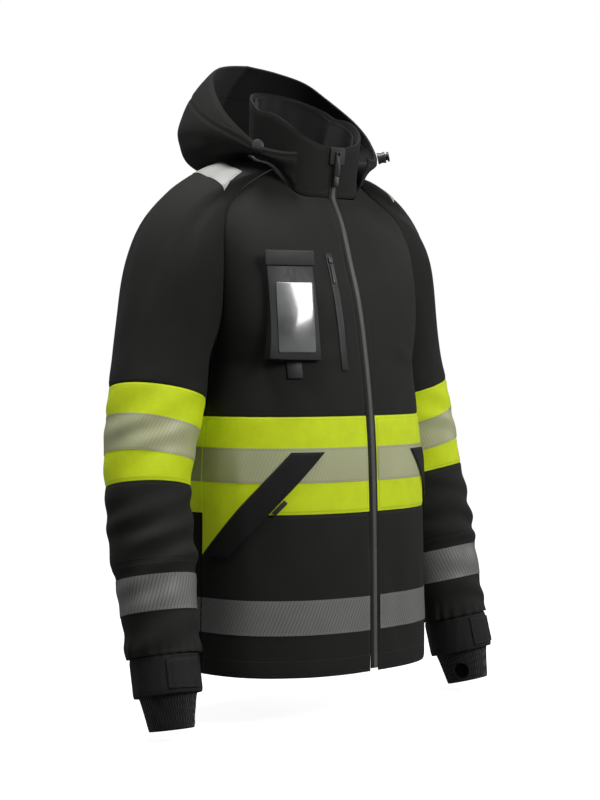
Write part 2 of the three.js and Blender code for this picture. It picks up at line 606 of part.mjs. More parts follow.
const windowShift = badgeFront.clone().sub(windowPoint).dot(badgeNormal);
const windowPlate = plate(...WINDOW_SIZE, windowPoint, badgeNormal, windowShift + FIT, { radius: 3 });
add("id_window", windowPlate, WINDOW, RIGHT);
const FLAP_SIZE = [77, 22, 2.4];
const FLAP_OVERLAP = 3;
const flapZ = BADGE_TOP + FLAP_SIZE[1] / 2 - FLAP_OVERLAP;
const flapPoint = frontAt(BADGE_X, flapZ);
const flapShift = badgeFront.clone().sub(flapPoint).dot(badgeNormal);
add("id_flap", plate(...FLAP_SIZE, flapPoint, badgeNormal, flapShift + FIT, { radius: 2 }), BLACK, RIGHT);
const LOOP_SIZE = [19, 25];
const loopTop = BADGE_TOP - BADGE_SIZE[1] - SEAM;
const loopXs = steps(BADGE_X - LOOP_SIZE[0] / 2, BADGE_X + LOOP_SIZE[0] / 2, 2);
const loopZs = steps(loopTop - LOOP_SIZE[1], loopTop, 2);
add("id_loop", patch(loopXs, loopZs, ON_CLOTH, ON_CLOTH + BINDING), BLACK, RIGHT);

// ---------------------------------------------------------------- hand pockets
// Distance round the front from the centre line, along a level row.
const arcMemory = new Map();
function frontArc(distance, level) {
  const samples = 48;
  if (!arcMemory.has(level)) {
    const line = steps(0, 1, samples).map((share) => torsoPoint(true, share, level));
    const lengths = [0];
    for (let i = 1; i <= samples; i++) lengths.push(lengths[i - 1] + line[i].distanceTo(line[i - 1]));
    arcMemory.set(level, { line, lengths });
  }
  const { line, lengths } = arcMemory.get(level);
  const next = Math.max(1, lengths.findIndex((length) => length >= distance));
  const last = distance >= lengths[samples] ? samples : next;
  const part = (distance - lengths[last - 1]) / (lengths[last] - lengths[last - 1]);
  return line[last - 1].clone().lerp(line[last], Math.min(part, 1));
}
const WELT_TOP_Z = BAND_TOP_Z - 51;
const WELT_DROP = 152; // height of the slanting pocket opening
const WELT_RUN = 147; // how far it runs towards the side meanwhile
const WELT_WIDTH = 51; // measured level
const WELT_START = 92; // round the front from the centre line to its upper corner
const weltStart = (level) => WELT_START + ((WELT_TOP_Z - level) * WELT_RUN) / WELT_DROP;
const weltSurface = (across, level) => frontArc(weltStart(level) + across, level);
const weltNormal = (across, level) => normalAt(weltSurface, Math.max(across, 3), level, 3, 3);
const WELT_LIFT = LAYER + TAPE + 1; // it lies over the tape that crosses it
const weltLevels = steps(WELT_TOP_Z - WELT_DROP, WELT_TOP_Z, 8);
const weltAcross = steps(0, WELT_WIDTH, 3);
const weltTop = WELT_LIFT + BINDING;
const welt = skin(weltSurface, weltAcross, weltLevels, WELT_LIFT, weltTop, { normal: weltNormal });
addPair("pocket_welt", welt, BLACK);
// The pocket zip's puller hangs just below the welt, near its upper end.
const POCKET_PULLER_SIZE = [7, 26, 1.6];
const POCKET_PULLER_LEVEL = WELT_TOP_Z - WELT_DROP * 0.52;
const pocketPullerAcross = -POCKET_PULLER_SIZE[0] * 0.95;
const pocketPullerPoint = weltSurface(pocketPullerAcross, POCKET_PULLER_LEVEL);
const pocketPullerNormal = normalAt(weltSurface, pocketPullerAcross, POCKET_PULLER_LEVEL, 3, 3);
const pocketPuller = plate(...POCKET_PULLER_SIZE, pocketPullerPoint, pocketPullerNormal, WELT_LIFT, {
  radius: 1.5,
  roll: 45,
});
addPair("pocket_zip_puller", pocketPuller, METAL);

// ---------------------------------------------------------------- sleeves
const spokes = steps(0, SPOKES - 1, SPOKES - 1);
const turns = spokes.map((spoke) => (spoke * 360) / SPOKES);
const CAP_SPLIT = 0.4; // the shoulder is sewn to the body up to here; below, the cloth folds
const CAP_SEAM = 0.008;
const capSeamNormal = (spoke, share) => (share === 0 ? seamNormal(spoke) : capNormal(spoke, share));
const raglanShares = [0, 0.13, 0.27, CAP_SPLIT];
const capOptions = { ring: true, normal: capSeamNormal };
addPair("raglan", skin(capPoint, spokes, raglanShares, -SHELL, 0, capOptions), BLACK);
// The folding cloth starts a little further from the shoulder's under the arm, where both curve tightly.
const UNDERARM_SEAM = 8;
function lowerCap(spoke, row) {
  const under = ((1 - Math.cos(radians((spoke * 360) / SPOKES))) / 2) ** 3;
  const start = CAP_SPLIT + CAP_SEAM * (1 + UNDERARM_SEAM * under);
  return capPoint(spoke, blend(start, 1 - CAP_SEAM, row));
}
addPair("upper_sleeve", skin(lowerCap, spokes, steps(0, 1, 4), -SHELL, 0, { ring: true }), BLACK);

function addSleeve(name, from, to, rows, inner, outer, material, radiusAt = sleeveRadius) {
  addPair(name, skin(tube(radiusAt), turns, steps(from, to, rows), inner, outer, { ring: true }), material);
}
const bandEnd = SLEEVE_BAND - SEAM;
const bandAlongs = [SEAM, SLEEVE_MARGIN, SLEEVE_MARGIN + TAPE_WIDTH, bandEnd];
addPair("sleeve_band", skin(sleeveTube, turns, bandAlongs, -SHELL, 0, { ring: true }), YELLOW);
addSleeve("sleeve_tape", bandAlongs[1], bandAlongs[2], 1, LAYER, LAYER + TAPE, SILVER);
const elbowEnd = SLEEVE_BAND + ELBOW_LENGTH;
addSleeve("elbow", SLEEVE_BAND, elbowEnd - SEAM, 3, -SHELL, 0, BLACK);
const forearmAlongs = [elbowEnd, FOREARM_TAPE_AT, FOREARM_TAPE_AT + TAPE_WIDTH, SLEEVE_LENGTH];
addPair("forearm", skin(sleeveTube, turns, forearmAlongs, -SHELL, 0, { ring: true }), BLACK);
addSleeve("forearm_tape", forearmAlongs[1], forearmAlongs[2], 1, LAYER, LAYER + TAPE, SILVER);
const CUFF_RADIUS = 49;
const CUFF_WALL = 2.4;
const cuffStart = SLEEVE_LENGTH + SEAM;
const cuffEnd = cuffStart + CUFF_LENGTH;
addSleeve("cuff", cuffStart, cuffEnd, 2, -CUFF_WALL, 0, BLACK, () => CUFF_RADIUS);
const ribStart = cuffEnd - 12;
const RIB_WALL = 1.6;
const ribRadius = (along) => {
  const hidden = CUFF_RADIUS - CUFF_WALL - LAYER;
  const share = THREE.MathUtils.clamp((along - ribStart) / (ARM_LENGTH - ribStart), 0, 1);
  return blend(hidden, RIB_END_RADIUS, share ** 0.6);
};
const ribTube = skin(tube(ribRadius), turns, steps(ribStart, ARM_LENGTH, 4), -RIB_WALL, 0, { ring: true });
const THUMB_TURN = 150;
const thumbFrame = armPoint(THUMB_TURN, ARM_LENGTH - 18, 0);
const thumbDirection = armPoint(THUMB_TURN, ARM_LENGTH - 18, 1).sub(thumbFrame).normalize();
const thumbCutter = new THREE.CylinderGeometry(THUMB_HOLE_RADIUS, THUMB_HOLE_RADIUS, RIB_END_RADIUS, 12);
thumbCutter.applyQuaternion(new THREE.Quaternion().setFromUnitVectors(vec(0, 1, 0), thumbDirection));
const cutterCentre = thumbFrame.clone().addScaledVector(thumbDirection, RIB_END_RADIUS);
thumbCutter.translate(cutterCentre.x, cutterCentre.y, cutterCentre.z);
addPair("rib_cuff", cut(ribTube, thumbCutter), RIB_CLOTH);
// The cuff's tab wraps part of the way round it.
const TAB_TURNS = [52, 112];
const TAB_LIFT = 0.8;
const TAB_THICKNESS = 2;
const tabAlong = [cuffStart + 5, cuffEnd - 5];
const tabSurface = (turn, along) => armPoint(turn, along, CUFF_RADIUS);
const tabTop = TAB_LIFT + TAB_THICKNESS;
const tab = skin(tabSurface, steps(...TAB_TURNS, 5), steps(...tabAlong, 1), TAB_LIFT, tabTop);
addPair("cuff_tab", tab, BLACK);

// ---------------------------------------------------------------- shoulder patches
// The point of the shoulder at a given x and fall, found by stepping from the top of the sleeve. The fall
// is y plus part of the height, so that it grows steadily from the front seam over the top to the back.
const FALL = 0.6;
function shoulderAt(x, fall) {
  let [spoke, share] = [0, 0.2];
  const nudge = [0.05, 0.005];
  for (let i = 0; i < 40; i++) {
    const here = capPoint(spoke, share);
    const alongSpoke = capPoint(spoke + nudge[0], share).sub(here).divideScalar(nudge[0]);
    const alongShare = capPoint(spoke, share + nudge[1]).sub(here).divideScalar(nudge[1]);
    const [dx, dy] = [x - here.x, fall - here.y - FALL * here.z];
    const [spokeFall, shareFall] = [alongSpoke.y + FALL * alongSpoke.z, alongShare.y + FALL * alongShare.z];
    const area = alongSpoke.x * shareFall - spokeFall * alongShare.x;
    spoke += THREE.MathUtils.clamp((dx * shareFall - dy * alongShare.x) / area, -0.4, 0.4);
    share += THREE.MathUtils.clamp((alongSpoke.x * dy - spokeFall * dx) / area, -0.05, 0.05);
    share = Math.max(share, 0.01);
  }
  return capPoint(spoke, share);
}
// A strip of reflective cloth lies over each shoulder, from the front seam to the back.
const PATCH_X = [133, 178];
const PATCH_FRONT = [-41, -72]; // the falls of its front end, which follows the seam
const PATCH_BACK = [38, 30];
const PATCH_DRIFT = 14; // its back end lies this much further out
const PATCH_LIFT = 3.7;
const patchSurface = (across, along) => {
  const share = (across - PATCH_X[0]) / (PATCH_X[1] - PATCH_X[0]);
  const fall = blend(blend(...PATCH_FRONT, share), blend(...PATCH_BACK, share), along);
  return shoulderAt(across + PATCH_DRIFT * along, fall);
};
const patchNormal = (across, along) => normalAt(patchSurface, across, along, 3, 0.04);
const patchTop = PATCH_LIFT + TAPE;
const patchGeometry = skin(patchSurface, steps(...PATCH_X, 3), steps(0, 1, 8), PATCH_LIFT, patchTop, {
  normal: patchNormal,
});
addPair("shoulder_patch", patchGeometry, SILVER);

// ---------------------------------------------------------------- hood
const HOOD_START = 45; // the hood's front ends on the neck, in degrees from the front
const hoodRim = new THREE.CatmullRomCurve3([
  vec(76, -70, -7),
  vec(100, -60, -6),
  vec(123, -42, 2),
  vec(139, -14, 28),
  vec(142, 18, 58),
  vec(122, 62, 97),
  vec(98, 86, 121),
  vec(56, 106, 136),
  vec(0, 115, 143),
]);
const HOOD_STAND = 5; // the hood's seam stands this far out from the collar
const hoodSeam = (degrees) => {
  const a = radians(degrees);
  return neckPoint(degrees).add(vec(HOOD_STAND * Math.sin(a), -HOOD_STAND * Math.cos(a), HOOD_STAND));
};
// How the cloth leaves the neck seam and reaches the rim, from the front ends round to the back.
const leavingStations = [vec(4, -5, 18), vec(45, -12, 4), vec(80, 60, -38), vec(0, 85, -144)];
const reachingStations = [vec(2, -3, -14), vec(14, 2, -26), vec(45, 82, -75), vec(0, 145, -85)];
const leaving = new THREE.CatmullRomCurve3(leavingStations);
const reaching = new THREE.CatmullRomCurve3(reachingStations);
function hoodPoint(degrees, share) {
  const left = degrees <= 180;
  const angle = left ? degrees : 360 - degrees;
  const way = THREE.MathUtils.clamp((angle - HOOD_START) / (180 - HOOD_START), 0, 1);
  const foot = hoodSeam(angle);
  const rim = hoodRim.getPoint(way);
  const curve = new THREE.CubicBezierCurve3(
    foot,
    foot.clone().add(leaving.getPoint(way)),
    rim.clone().add(reaching.getPoint(way)),
    rim,
  );
  const point = curve.getPoint(share);
  return left ? point : mirrorX(point);
}
const BRIM_SHARE = 0.86; // the rim's channel begins here
const BRIM_GAP = 0.012;
const hoodAngles = steps(HOOD_START, 360 - HOOD_START, 30);
const hoodShares = [...steps(0, 0.6, 6), 0.72, BRIM_SHARE - BRIM_GAP];
const HOOD_WALL = 3;
add("hood", skin(hoodPoint, hoodAngles, hoodShares, -HOOD_WALL, 0), BLACK);
add("hood_brim", skin(hoodPoint, hoodAngles, [BRIM_SHARE, 0.93, 1], -HOOD_WALL - 1, 0.5), BLACK);

// A cord lock on each front corner of the hood: a barrel with a button that is pressed into it.
const LOCK_ANGLE = 80;
const LOCK_SHARE = 0.9;
const BARREL_RADIUS = 9;
const BARREL_LENGTH = 12;
const BORE_RADIUS = 5.4;
const BARREL_FLOOR = 2.5;
const BUTTON_TRAVEL = 2.5;
const BUTTON_CAP = [7.6, 3]; // radius and thickness
const lockPoint = hoodPoint(LOCK_ANGLE, LOCK_SHARE);
const lockNormal = normalAt(hoodPoint, LOCK_ANGLE, LOCK_SHARE, 0.5, 0.01);
const LOCK_LIFT = 1.2;
// A turned piece whose axis leaves the hood at right angles; heights count from the hood's cloth.
function turned(outline) {
  const geometry = new THREE.LatheGeometry(outline.map(([r, h]) => new THREE.Vector2(r, h)), 14);
  geometry.applyQuaternion(new THREE.Quaternion().setFromUnitVectors(vec(0, 1, 0), lockNormal));
  return geometry.translate(lockPoint.x, lockPoint.y, lockPoint.z);
}
const lockTop = LOCK_LIFT + BARREL_LENGTH;
const lockFloor = LOCK_LIFT + BARREL_FLOOR;
const barrel = [
  [0, LOCK_LIFT],
  [BARREL_RADIUS, LOCK_LIFT],
  [BARREL_RADIUS * 0.85, LOCK_LIFT + BARREL_LENGTH / 2],
  [BARREL_RADIUS, lockTop],
  [BORE_RADIUS, lockTop],
  [BORE_RADIUS, lockFloor],
  [0, lockFloor],
];
addPair("cord_lock", turned(barrel), PLASTIC);
const stemFoot = lockFloor + BUTTON_TRAVEL + FIT;
const capFoot = lockTop + BUTTON_TRAVEL + FIT;
const button = [
  [0, stemFoot],
  [BORE_RADIUS - FIT, stemFoot],
  [BORE_RADIUS - FIT, capFoot],
  [BUTTON_CAP[0], capFoot],
  [BUTTON_CAP[0], capFoot + BUTTON_CAP[1]],
  [0, capFoot + BUTTON_CAP[1]],
];
addPair("cord_button", turned(button), PLASTIC);

export default jacket;
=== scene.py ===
"""A hooded high-visibility work jacket: cloth, tape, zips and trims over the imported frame.

Shapes are worked out in millimetres on grids of two parameters, and written in metres.
Turns and spokes on a sleeve run from its outside to the front; angles on the neck run from the front round.
"""
import json
import math
import bmesh
import bpy
import numpy as np
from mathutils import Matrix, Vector


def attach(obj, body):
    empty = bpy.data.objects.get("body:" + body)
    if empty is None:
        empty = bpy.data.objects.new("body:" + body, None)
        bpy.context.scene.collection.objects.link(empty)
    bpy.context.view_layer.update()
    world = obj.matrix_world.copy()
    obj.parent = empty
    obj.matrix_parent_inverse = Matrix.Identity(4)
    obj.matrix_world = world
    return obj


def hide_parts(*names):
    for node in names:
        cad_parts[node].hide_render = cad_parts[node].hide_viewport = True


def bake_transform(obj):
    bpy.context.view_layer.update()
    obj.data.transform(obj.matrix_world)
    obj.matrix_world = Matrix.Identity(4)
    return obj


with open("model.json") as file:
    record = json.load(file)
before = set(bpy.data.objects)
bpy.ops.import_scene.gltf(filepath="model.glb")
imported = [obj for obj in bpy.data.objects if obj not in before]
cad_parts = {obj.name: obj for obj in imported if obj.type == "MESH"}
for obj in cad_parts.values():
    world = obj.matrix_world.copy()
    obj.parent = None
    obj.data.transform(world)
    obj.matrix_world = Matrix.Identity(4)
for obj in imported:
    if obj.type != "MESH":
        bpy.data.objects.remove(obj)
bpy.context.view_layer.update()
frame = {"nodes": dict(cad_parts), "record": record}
MM = 0.001
LEFT, RIGHT = 1, -1
SIDES = ((LEFT, "left"), (RIGHT, "right"))

# ------------------------------------------------------------------ camera and light
camera = bpy.data.objects.new("camera", bpy.data.cameras.new("camera"))
bpy.context.scene.collection.objects.link(camera)
camera.location = (-2.2627, -2.2627, -0.2965)
camera.rotation_euler = (Vector((0, 0, -0.372)) - camera.location).to_track_quat("-Z", "Y").to_euler()
camera.data.lens = 95.2
camera.data.sensor_width = 36
camera.data.clip_end = 50
bpy.context.scene.camera = camera
bpy.context.scene.view_settings.view_transform = "Standard"


def lamp(name, place, aim, size, power):
    """A square soft light that faces its aim."""
    light = bpy.data.lights.new(name, "AREA")
    light.shape = "SQUARE"
    light.size = size
    light.energy = power
    holder = bpy.data.objects.new(name, light)
    holder.location = place
    holder.rotation_euler = (Vector(aim) - Vector(place)).to_track_quat("-Z", "Y").to_euler()
    bpy.context.scene.collection.objects.link(holder)


lamp("key", (0.3, -3.0, 1.3), (0, 0, -0.35), 1.1, 70)
lamp("fill", (2.6, -1.2, 0.5), (0, 0, -0.4), 1.3, 15)
lamp("top", (-0.6, 0.1, 2.3), (0, 0, -0.2), 1.1, 74)
lamp("side", (-2.9, -0.6, 0.9), (0, 0, -0.3), 1.0, 4)
world = bpy.data.worlds.new("studio")
bpy.context.scene.world = world
world.use_nodes = True
world.node_tree.nodes["Background"].inputs["Color"].default_value = (1, 1, 1, 1)
world.node_tree.nodes["Background"].inputs["Strength"].default_value = 0.16


# ------------------------------------------------------------------ curves and blends
def lerp(a, b, t):
    return a + (b - a) * t


def ease(t):
    """Cubic step from 0 to 1."""
    t = np.clip(t, 0, 1)
    return t * t * (3 - 2 * t)


def unit(v):
    return v / np.maximum(np.linalg.norm(v, axis=-1, keepdims=True), 1e-12)


def triple(x, y, z):
    return np.stack(np.broadcast_arrays(x, y, z), -1).astype(float)


class Line:
    """A centripetal Catmull-Rom curve through points, held as a dense table."""

    def __init__(self, points, fine=80):
        p = np.array(points, float)
        p = np.vstack([2 * p[0] - p[1], p, 2 * p[-1] - p[-2]])
        gap = np.maximum(np.linalg.norm(np.diff(p, axis=0), axis=1) ** 0.5, 1e-4)
        s = np.linspace(0, 1, fine, endpoint=False)[:, None]
        rows = []
        for k in range(1, len(p) - 2):
            a, b, c, d = p[k - 1 : k + 3]
            e, f, g = gap[k - 1 : k + 2]
            m = ((b - a) / e - (c - a) / (e + f) + (c - b) / f) * f
            n = ((c - b) / f - (d - b) / (f + g) + (d - c) / g) * f
            rows.append(b + m * s + (3 * (c - b) - 2 * m - n) * s**2 + (2 * (b - c) + m + n) * s**3)
        self.table = np.vstack([*rows, p[-2:-1]])
        self.count = np.linspace(0, 1, len(self.table))
        run = np.r_[0, np.cumsum(np.linalg.norm(np.diff(self.table, axis=0), axis=1))]
        self.length = run[-1]
        self.share = run / run[-1]

    def read(self, where, steps):
        return np.stack([np.interp(where, steps, self.table[:, k]) for k in range(self.table.shape[1])], -1)

    def at(self, t):
        return self.read(t, self.count)

    def along(self, u):
        return self.read(u, self.share)


def profile(stations):
    """A smooth function through (x, y) stations, level past its ends."""
    table = Line([(x, y, 0) for x, y in sorted(stations)]).table
    return lambda x: np.interp(x, table[:, 0], table[:, 1])


# ------------------------------------------------------------------ neck and torso
ARMPIT, BAND_TOP, BAND_BOTTOM, HEM = -315, -392, -532, -766
FRONT_NECK, BACK_NECK = -70, 2
half_width = profile([(-766, 200), (-579, 197), (-452, 195), (-392, 190), (-315, 180)])
front_depth = profile(
    [(-766, 156), (-522, 152.9), (-412, 148.2), (-315, 137.3), (-224, 121.7), (-166, 104.5), (-110, 87.4),
     (-70, 68)]
)
back_depth = profile(
    [(-766, 148.9), (-452, 141.6), (-315, 146), (-210, 141.6), (-110, 125.6), (-40, 99.3), (2, 74)]
)


def squared(degrees, wide, deep):
    """A squared-off ellipse, rounder towards the back."""
    a = np.radians(degrees)
    power = lerp(0.6, 1, ease((np.minimum(degrees, 360 - degrees) - 78) / 40))
    return triple(
        wide * np.sign(np.sin(a)) * np.abs(np.sin(a)) ** power,
        -deep * np.sign(np.cos(a)) * np.abs(np.cos(a)) ** power,
        0,
    )


def neck(degrees):
    """The neck seam, 0 at its front and 180 at its back."""
    degrees = np.asarray(degrees, float)
    turned = np.minimum(np.abs(degrees), 360 - degrees)
    drop = 72 / (1 + (turned / 72) ** 5)
    return squared(degrees, 78, 71) + triple(0, 3, 2 - drop)


front_hole = Line(
    [(180, 5, -315), (188, -28, -252), (192, -38, -185), (189, -36, -125), (175, -29, -90), (128, -19, -55),
     neck(78)]
)
back_hole = Line(
    [(180, 5, -315), (186, 44, -252), (188, 66, -185), (182, 74, -125), (165, 70, -86), (120, 56, -36),
     neck(118)]
)


def torso(front, share, level):
    """Half of the front or back: share runs from its centre to the side, level to the armpit and on to 0."""
    share, level = np.broadcast_arrays(np.asarray(share, float), np.asarray(level, float))
    t = np.clip(1 - level / ARMPIT, 0, 1)
    top, arc, last = (FRONT_NECK, 78, 0.6) if front else (BACK_NECK, 62, 1)
    centre_z = np.where(t > 0, lerp(ARMPIT, top, t), level)
    centre_y = -front_depth(centre_z) if front else back_depth(centre_z)
    hole = (front_hole if front else back_hole).along(t)
    edge = np.where((t > 0)[..., None], hole, triple(half_width(level), 5, level))
    full = np.radians(lerp(lerp(90, 76, ease(t * 2)), arc, ease(t * 2 - 1)))
    power = lerp(0.8, last, t)
    across = np.sign(share) * (np.abs(np.sin(full * share)) / np.sin(full)) ** power
    bend = lambda a: 1 - np.maximum(np.cos(a), 1e-9) ** power
    round_neck = (lambda s: 78 * np.abs(s)) if front else (lambda s: 180 - 62 * np.abs(s))
    neck_rise = (neck(round_neck(share))[..., 2] - top) / (neck(round_neck(1.0))[..., 2] - top)
    rise = np.where(t > 0, lerp(share**2, neck_rise, t * t), 0)
    y = lerp(centre_y, edge[..., 1], bend(full * share) / bend(full))
    return triple(edge[..., 0] * across, y, lerp(centre_z, edge[..., 2], rise))


def share_at(x, level):
    """The share of a front row that lies x from the centre."""
    low, high = np.zeros(np.broadcast(x, level).shape), np.ones(np.broadcast(x, level).shape)
    for _ in range(26):
        middle = (low + high) / 2
        short = torso(True, middle, level)[..., 0] < x
        low, high = np.where(short, middle, low), np.where(short, high, middle)
    return low


ZIP_EDGE = 9.0


def front_row(column, level):
    """A front panel's row: column 0 is the zip's edge and 1 the side."""
    return torso(True, lerp(share_at(ZIP_EDGE, level), 1, column), level)


def front_band_edge(column):
    """The fluorescent band's lower edge drops towards the side seam, under the pocket's welt."""
    return BAND_BOTTOM - 62 * np.maximum(0, column - 2 / 3) * 3


def back_row(column, level):
    """The back runs from one side (-1) to the other (1)."""
    p = torso(False, np.abs(column), level)
    return triple(p[..., 0] * np.sign(column), p[..., 1], p[..., 2])


# ------------------------------------------------------------------ sleeves
arm = Line([(262, 28, -360), (292, 15, -478), (303, -14, -610), (316, -64, -825)])
ARM = arm.length
arm_axis = unit(np.gradient(arm.table, axis=0))
sleeve_radius = profile([(0, 71), (68, 66), (136, 61), (246, 60.5), (266, 57), (376, 52), (ARM, 52)])


def arm_frame(along):
    u = np.clip(np.asarray(along, float) / ARM, 0, 1)
    axis = unit(np.stack([np.interp(u, arm.share, arm_axis[:, k]) for k in range(3)], -1))
    outward = unit(np.array([1.0, 0, 0]) - axis * axis[..., :1])
    return arm.along(u), axis, outward, np.cross(axis, outward)


def arm_point(turn, along, radius):
    """Round the arm's line: turn 0 is its outside and 90 its front."""
    centre, _, outward, forward = arm_frame(along)
    a = np.radians(turn)[..., None]
    return centre + np.asarray(radius)[..., None] * (outward * np.cos(a) + forward * np.sin(a))


def sleeve(turn, along):
    return arm_point(turn, along, sleeve_radius(along))


def armhole(spoke):
    """The armhole as a loop of 20 spokes: over the shoulder, down the front and up the back."""
    s = np.mod(spoke, 20)
    over = np.where(s < 1, 98 - s * 20, 98 + (20 - s) * 20)
    front = front_hole.along(np.clip(1 - (s - 1) / 9, 0, 1))
    back = back_hole.along(np.clip((s - 10) / 9, 0, 1))
    ends = ((s < 1) | (s > 19))[..., None]
    return np.where(ends, neck(np.clip(over, 78, 118)), np.where((s <= 10)[..., None], front, back))


def cap(spoke, share):
    """Hermite curves from the armhole to the ring where the sleeve's band begins."""
    spoke, share = np.broadcast_arrays(np.asarray(spoke, float), np.asarray(share, float))
    a = np.radians(spoke * 18)
    start, end = armhole(spoke), sleeve(spoke * 18, np.zeros(spoke.shape))
    reach = np.linalg.norm(end - start, axis=-1, keepdims=True)
    high = ((1 + np.cos(a)) / 2)[..., None]
    drop = lerp(-0.9, -0.2, high[..., 0] ** 0.7)
    leave = unit(triple(1, -0.22 * np.sin(a), drop)) * reach * lerp(0.75, 1.62, high)
    arrive = arm_frame(0)[1] * reach * lerp(0.8, 1.507, high)
    s = share[..., None]
    from_start = start * (2 * s**3 - 3 * s**2 + 1) + leave * (s**3 - 2 * s**2 + s)
    return from_start + end * (3 * s**2 - 2 * s**3) + arrive * (s**3 - s**2)


# ------------------------------------------------------------------ collar and hood
def collar(degrees, share):
    """From the neck seam up to a wider, forward-leaning ring."""
    back = ((1 - np.cos(np.radians(degrees))) / 2) ** 0.8
    top = squared(degrees, 82, 75) + triple(0, -3, lerp(FRONT_NECK, BACK_NECK, back) + lerp(74, 94, back))
    return lerp(neck(degrees), top, np.asarray(share)[..., None])


hood_rim = Line(
    [(76, -70, -7), (100, -60, -6), (123, -42, 2), (139, -14, 28), (142, 18, 58), (122, 62, 97),
     (98, 86, 121), (56, 106, 136), (0, 115, 143)]
)
leaving = Line([(4, -5, 18), (45, -12, 4), (80, 60, -38), (0, 85, -144)])
reaching = Line([(2, -3, -14), (14, 2, -26), (45, 82, -75), (0, 145, -85)])


def hood(degrees, share):
    """Bezier curves from the neck seam out, down and up to the hood's rim."""
    angle = np.minimum(degrees, 360 - degrees)
    way = np.clip((angle - 45) / 135, 0, 1)
    a = np.radians(angle)
    foot = neck(angle) + triple(5 * np.sin(a), -5 * np.cos(a), 5)
    rim = hood_rim.at(way)
    s = np.asarray(share)[..., None]
    p = (1 - s) ** 3 * foot + 3 * (1 - s) ** 2 * s * (foot + leaving.at(way))
    p = p + 3 * (1 - s) * s**2 * (rim + reaching.at(way)) + s**3 * rim
    return triple(p[..., 0] * np.where(degrees <= 180, 1, -1), p[..., 1], p[..., 2])


# ------------------------------------------------------------------ folds in the cloth
def waves(p, scale, seed, stretch=(1, 1, 1)):
    """Smooth noise: six sine waves in fixed directions, about scale long."""
    made = np.random.default_rng(seed)
    total = 0
    for _ in range(6):
        way = made.normal(size=3)
        way = way / np.linalg.norm(way) * made.uniform(0.7, 1.5) * 2 * np.pi / scale
        total = total + np.sin((p * np.array(stretch)) @ way + made.uniform(0, 6.28))
    return total / 6


def crease(p, a, b, width, height):
    """A soft ridge (or a groove, if height is negative) along the line from a to b."""
    a, b = np.array(a, float), np.array(b, float)
    t = np.clip(((p - a) @ (b - a)) / ((b - a) @ (b - a)), 0, 1)
    far = np.linalg.norm(p - (a + t[..., None] * (b - a)), axis=-1)
    return height * np.exp(-((far / width) ** 2)) * np.sin(np.pi * np.clip(t, 0.02, 0.98)) ** 0.5


CREASES = [  # from, to, width and height; the wearer's right has x below 0
    ((-150, -95, -330), (-60, -140, -300), 12, 3.0),
    ((-165, -60, -280), (-95, -128, -372), 13, -2.6),
    ((150, -95, -330), (70, -140, -290), 13, 2.4),
    ((165, -60, -290), (80, -135, -380), 12, -2.2),
    ((-196, -60, -400), (-188, -80, -640), 16, 2.4),
    ((-120, -140, -640), (-60, -152, -560), 18, 2.2),
    ((30, -152, -560), (60, -150, -740), 20, -2.0),
    ((-40, -154, -740), (-20, -152, -600), 16, 1.8),
    ((100, -135, -600), (150, -120, -720), 18, 2.0),
    ((-255, 0, -250), (-225, -30, -350), 13, 3.5),
    ((-270, 10, -300), (-215, 0, -370), 12, -3.2),
    ((255, 0, -250), (225, -30, -350), 13, 3.2),
    ((-110, 130, -150), (-60, 140, -300), 22, 2.5),
    ((110, 130, -150), (60, 140, -300), 22, 2.5),
]


def folds(p):
    """How far the cloth stands off its smooth shape, in mm."""
    lift = 1.5 * waves(p, 150, 3, (1, 1, 0.6)) + 0.7 * waves(p, 60, 5, (1, 1, 0.7))
    for a, b, width, height in CREASES:
        lift = lift + crease(p, a, b, width, height)
    x, z = np.abs(p[..., 0]), p[..., 2]
    arm_part = ease((x - 205) / 30)
    swell = lambda level, reach: np.exp(-(((z - level) / reach) ** 2))
    bend = swell(-560, 70) + 0.55 * swell(-400, 60) + 0.6 * swell(-700, 40)
    slant = z + 0.45 * p[..., 1] + 0.25 * x
    ring = np.sin(slant * 2 * np.pi / 46 + 1.3 * waves(p, 90, 8)) * (0.6 + 0.6 * waves(p, 110, 9))
    lift = lift + arm_part * bend * 3.4 * ring
    gather = arm_part * ease((-690 - z) / 35)
    around = np.arctan2(p[..., 1] + 50, x - 310)
    return lift + gather * 1.6 * np.sin(around * 17 + 2 * waves(p, 60, 4))


# ------------------------------------------------------------------ meshes
BODY_OF = {n: b for b, nodes in frame["record"]["behaviour"]["bodies"].items() for n in nodes}


def fine(low, high, count, margin=0.02):
    """Even steps, with closer ones at both ends for the rolled edges."""
    ends = np.array([0, 0.2, 0.5]) * margin
    share = np.r_[ends, np.linspace(margin, 1 - margin, count), 1 - ends[::-1]]
    return lerp(low, high, share)


def put_mesh(name, points, faces, materials, which=None):
    """A mesh object in metres from points in mm."""
    mesh = bpy.data.meshes.new(name)
    mesh.from_pydata((points * MM).tolist(), [], faces.tolist())
    for m in materials:
        mesh.materials.append(m)
    if which is not None:
        mesh.polygons.foreach_set("material_index", which.astype(np.int32))
    made = bpy.data.objects.new(name, mesh)
    bpy.context.scene.collection.objects.link(made)
    return made


def finish_piece(made, body, nodes, bend=None):
    if bend:
        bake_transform(made)
    else:
        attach(made, body)
    if nodes:
        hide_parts(*nodes)
    return made


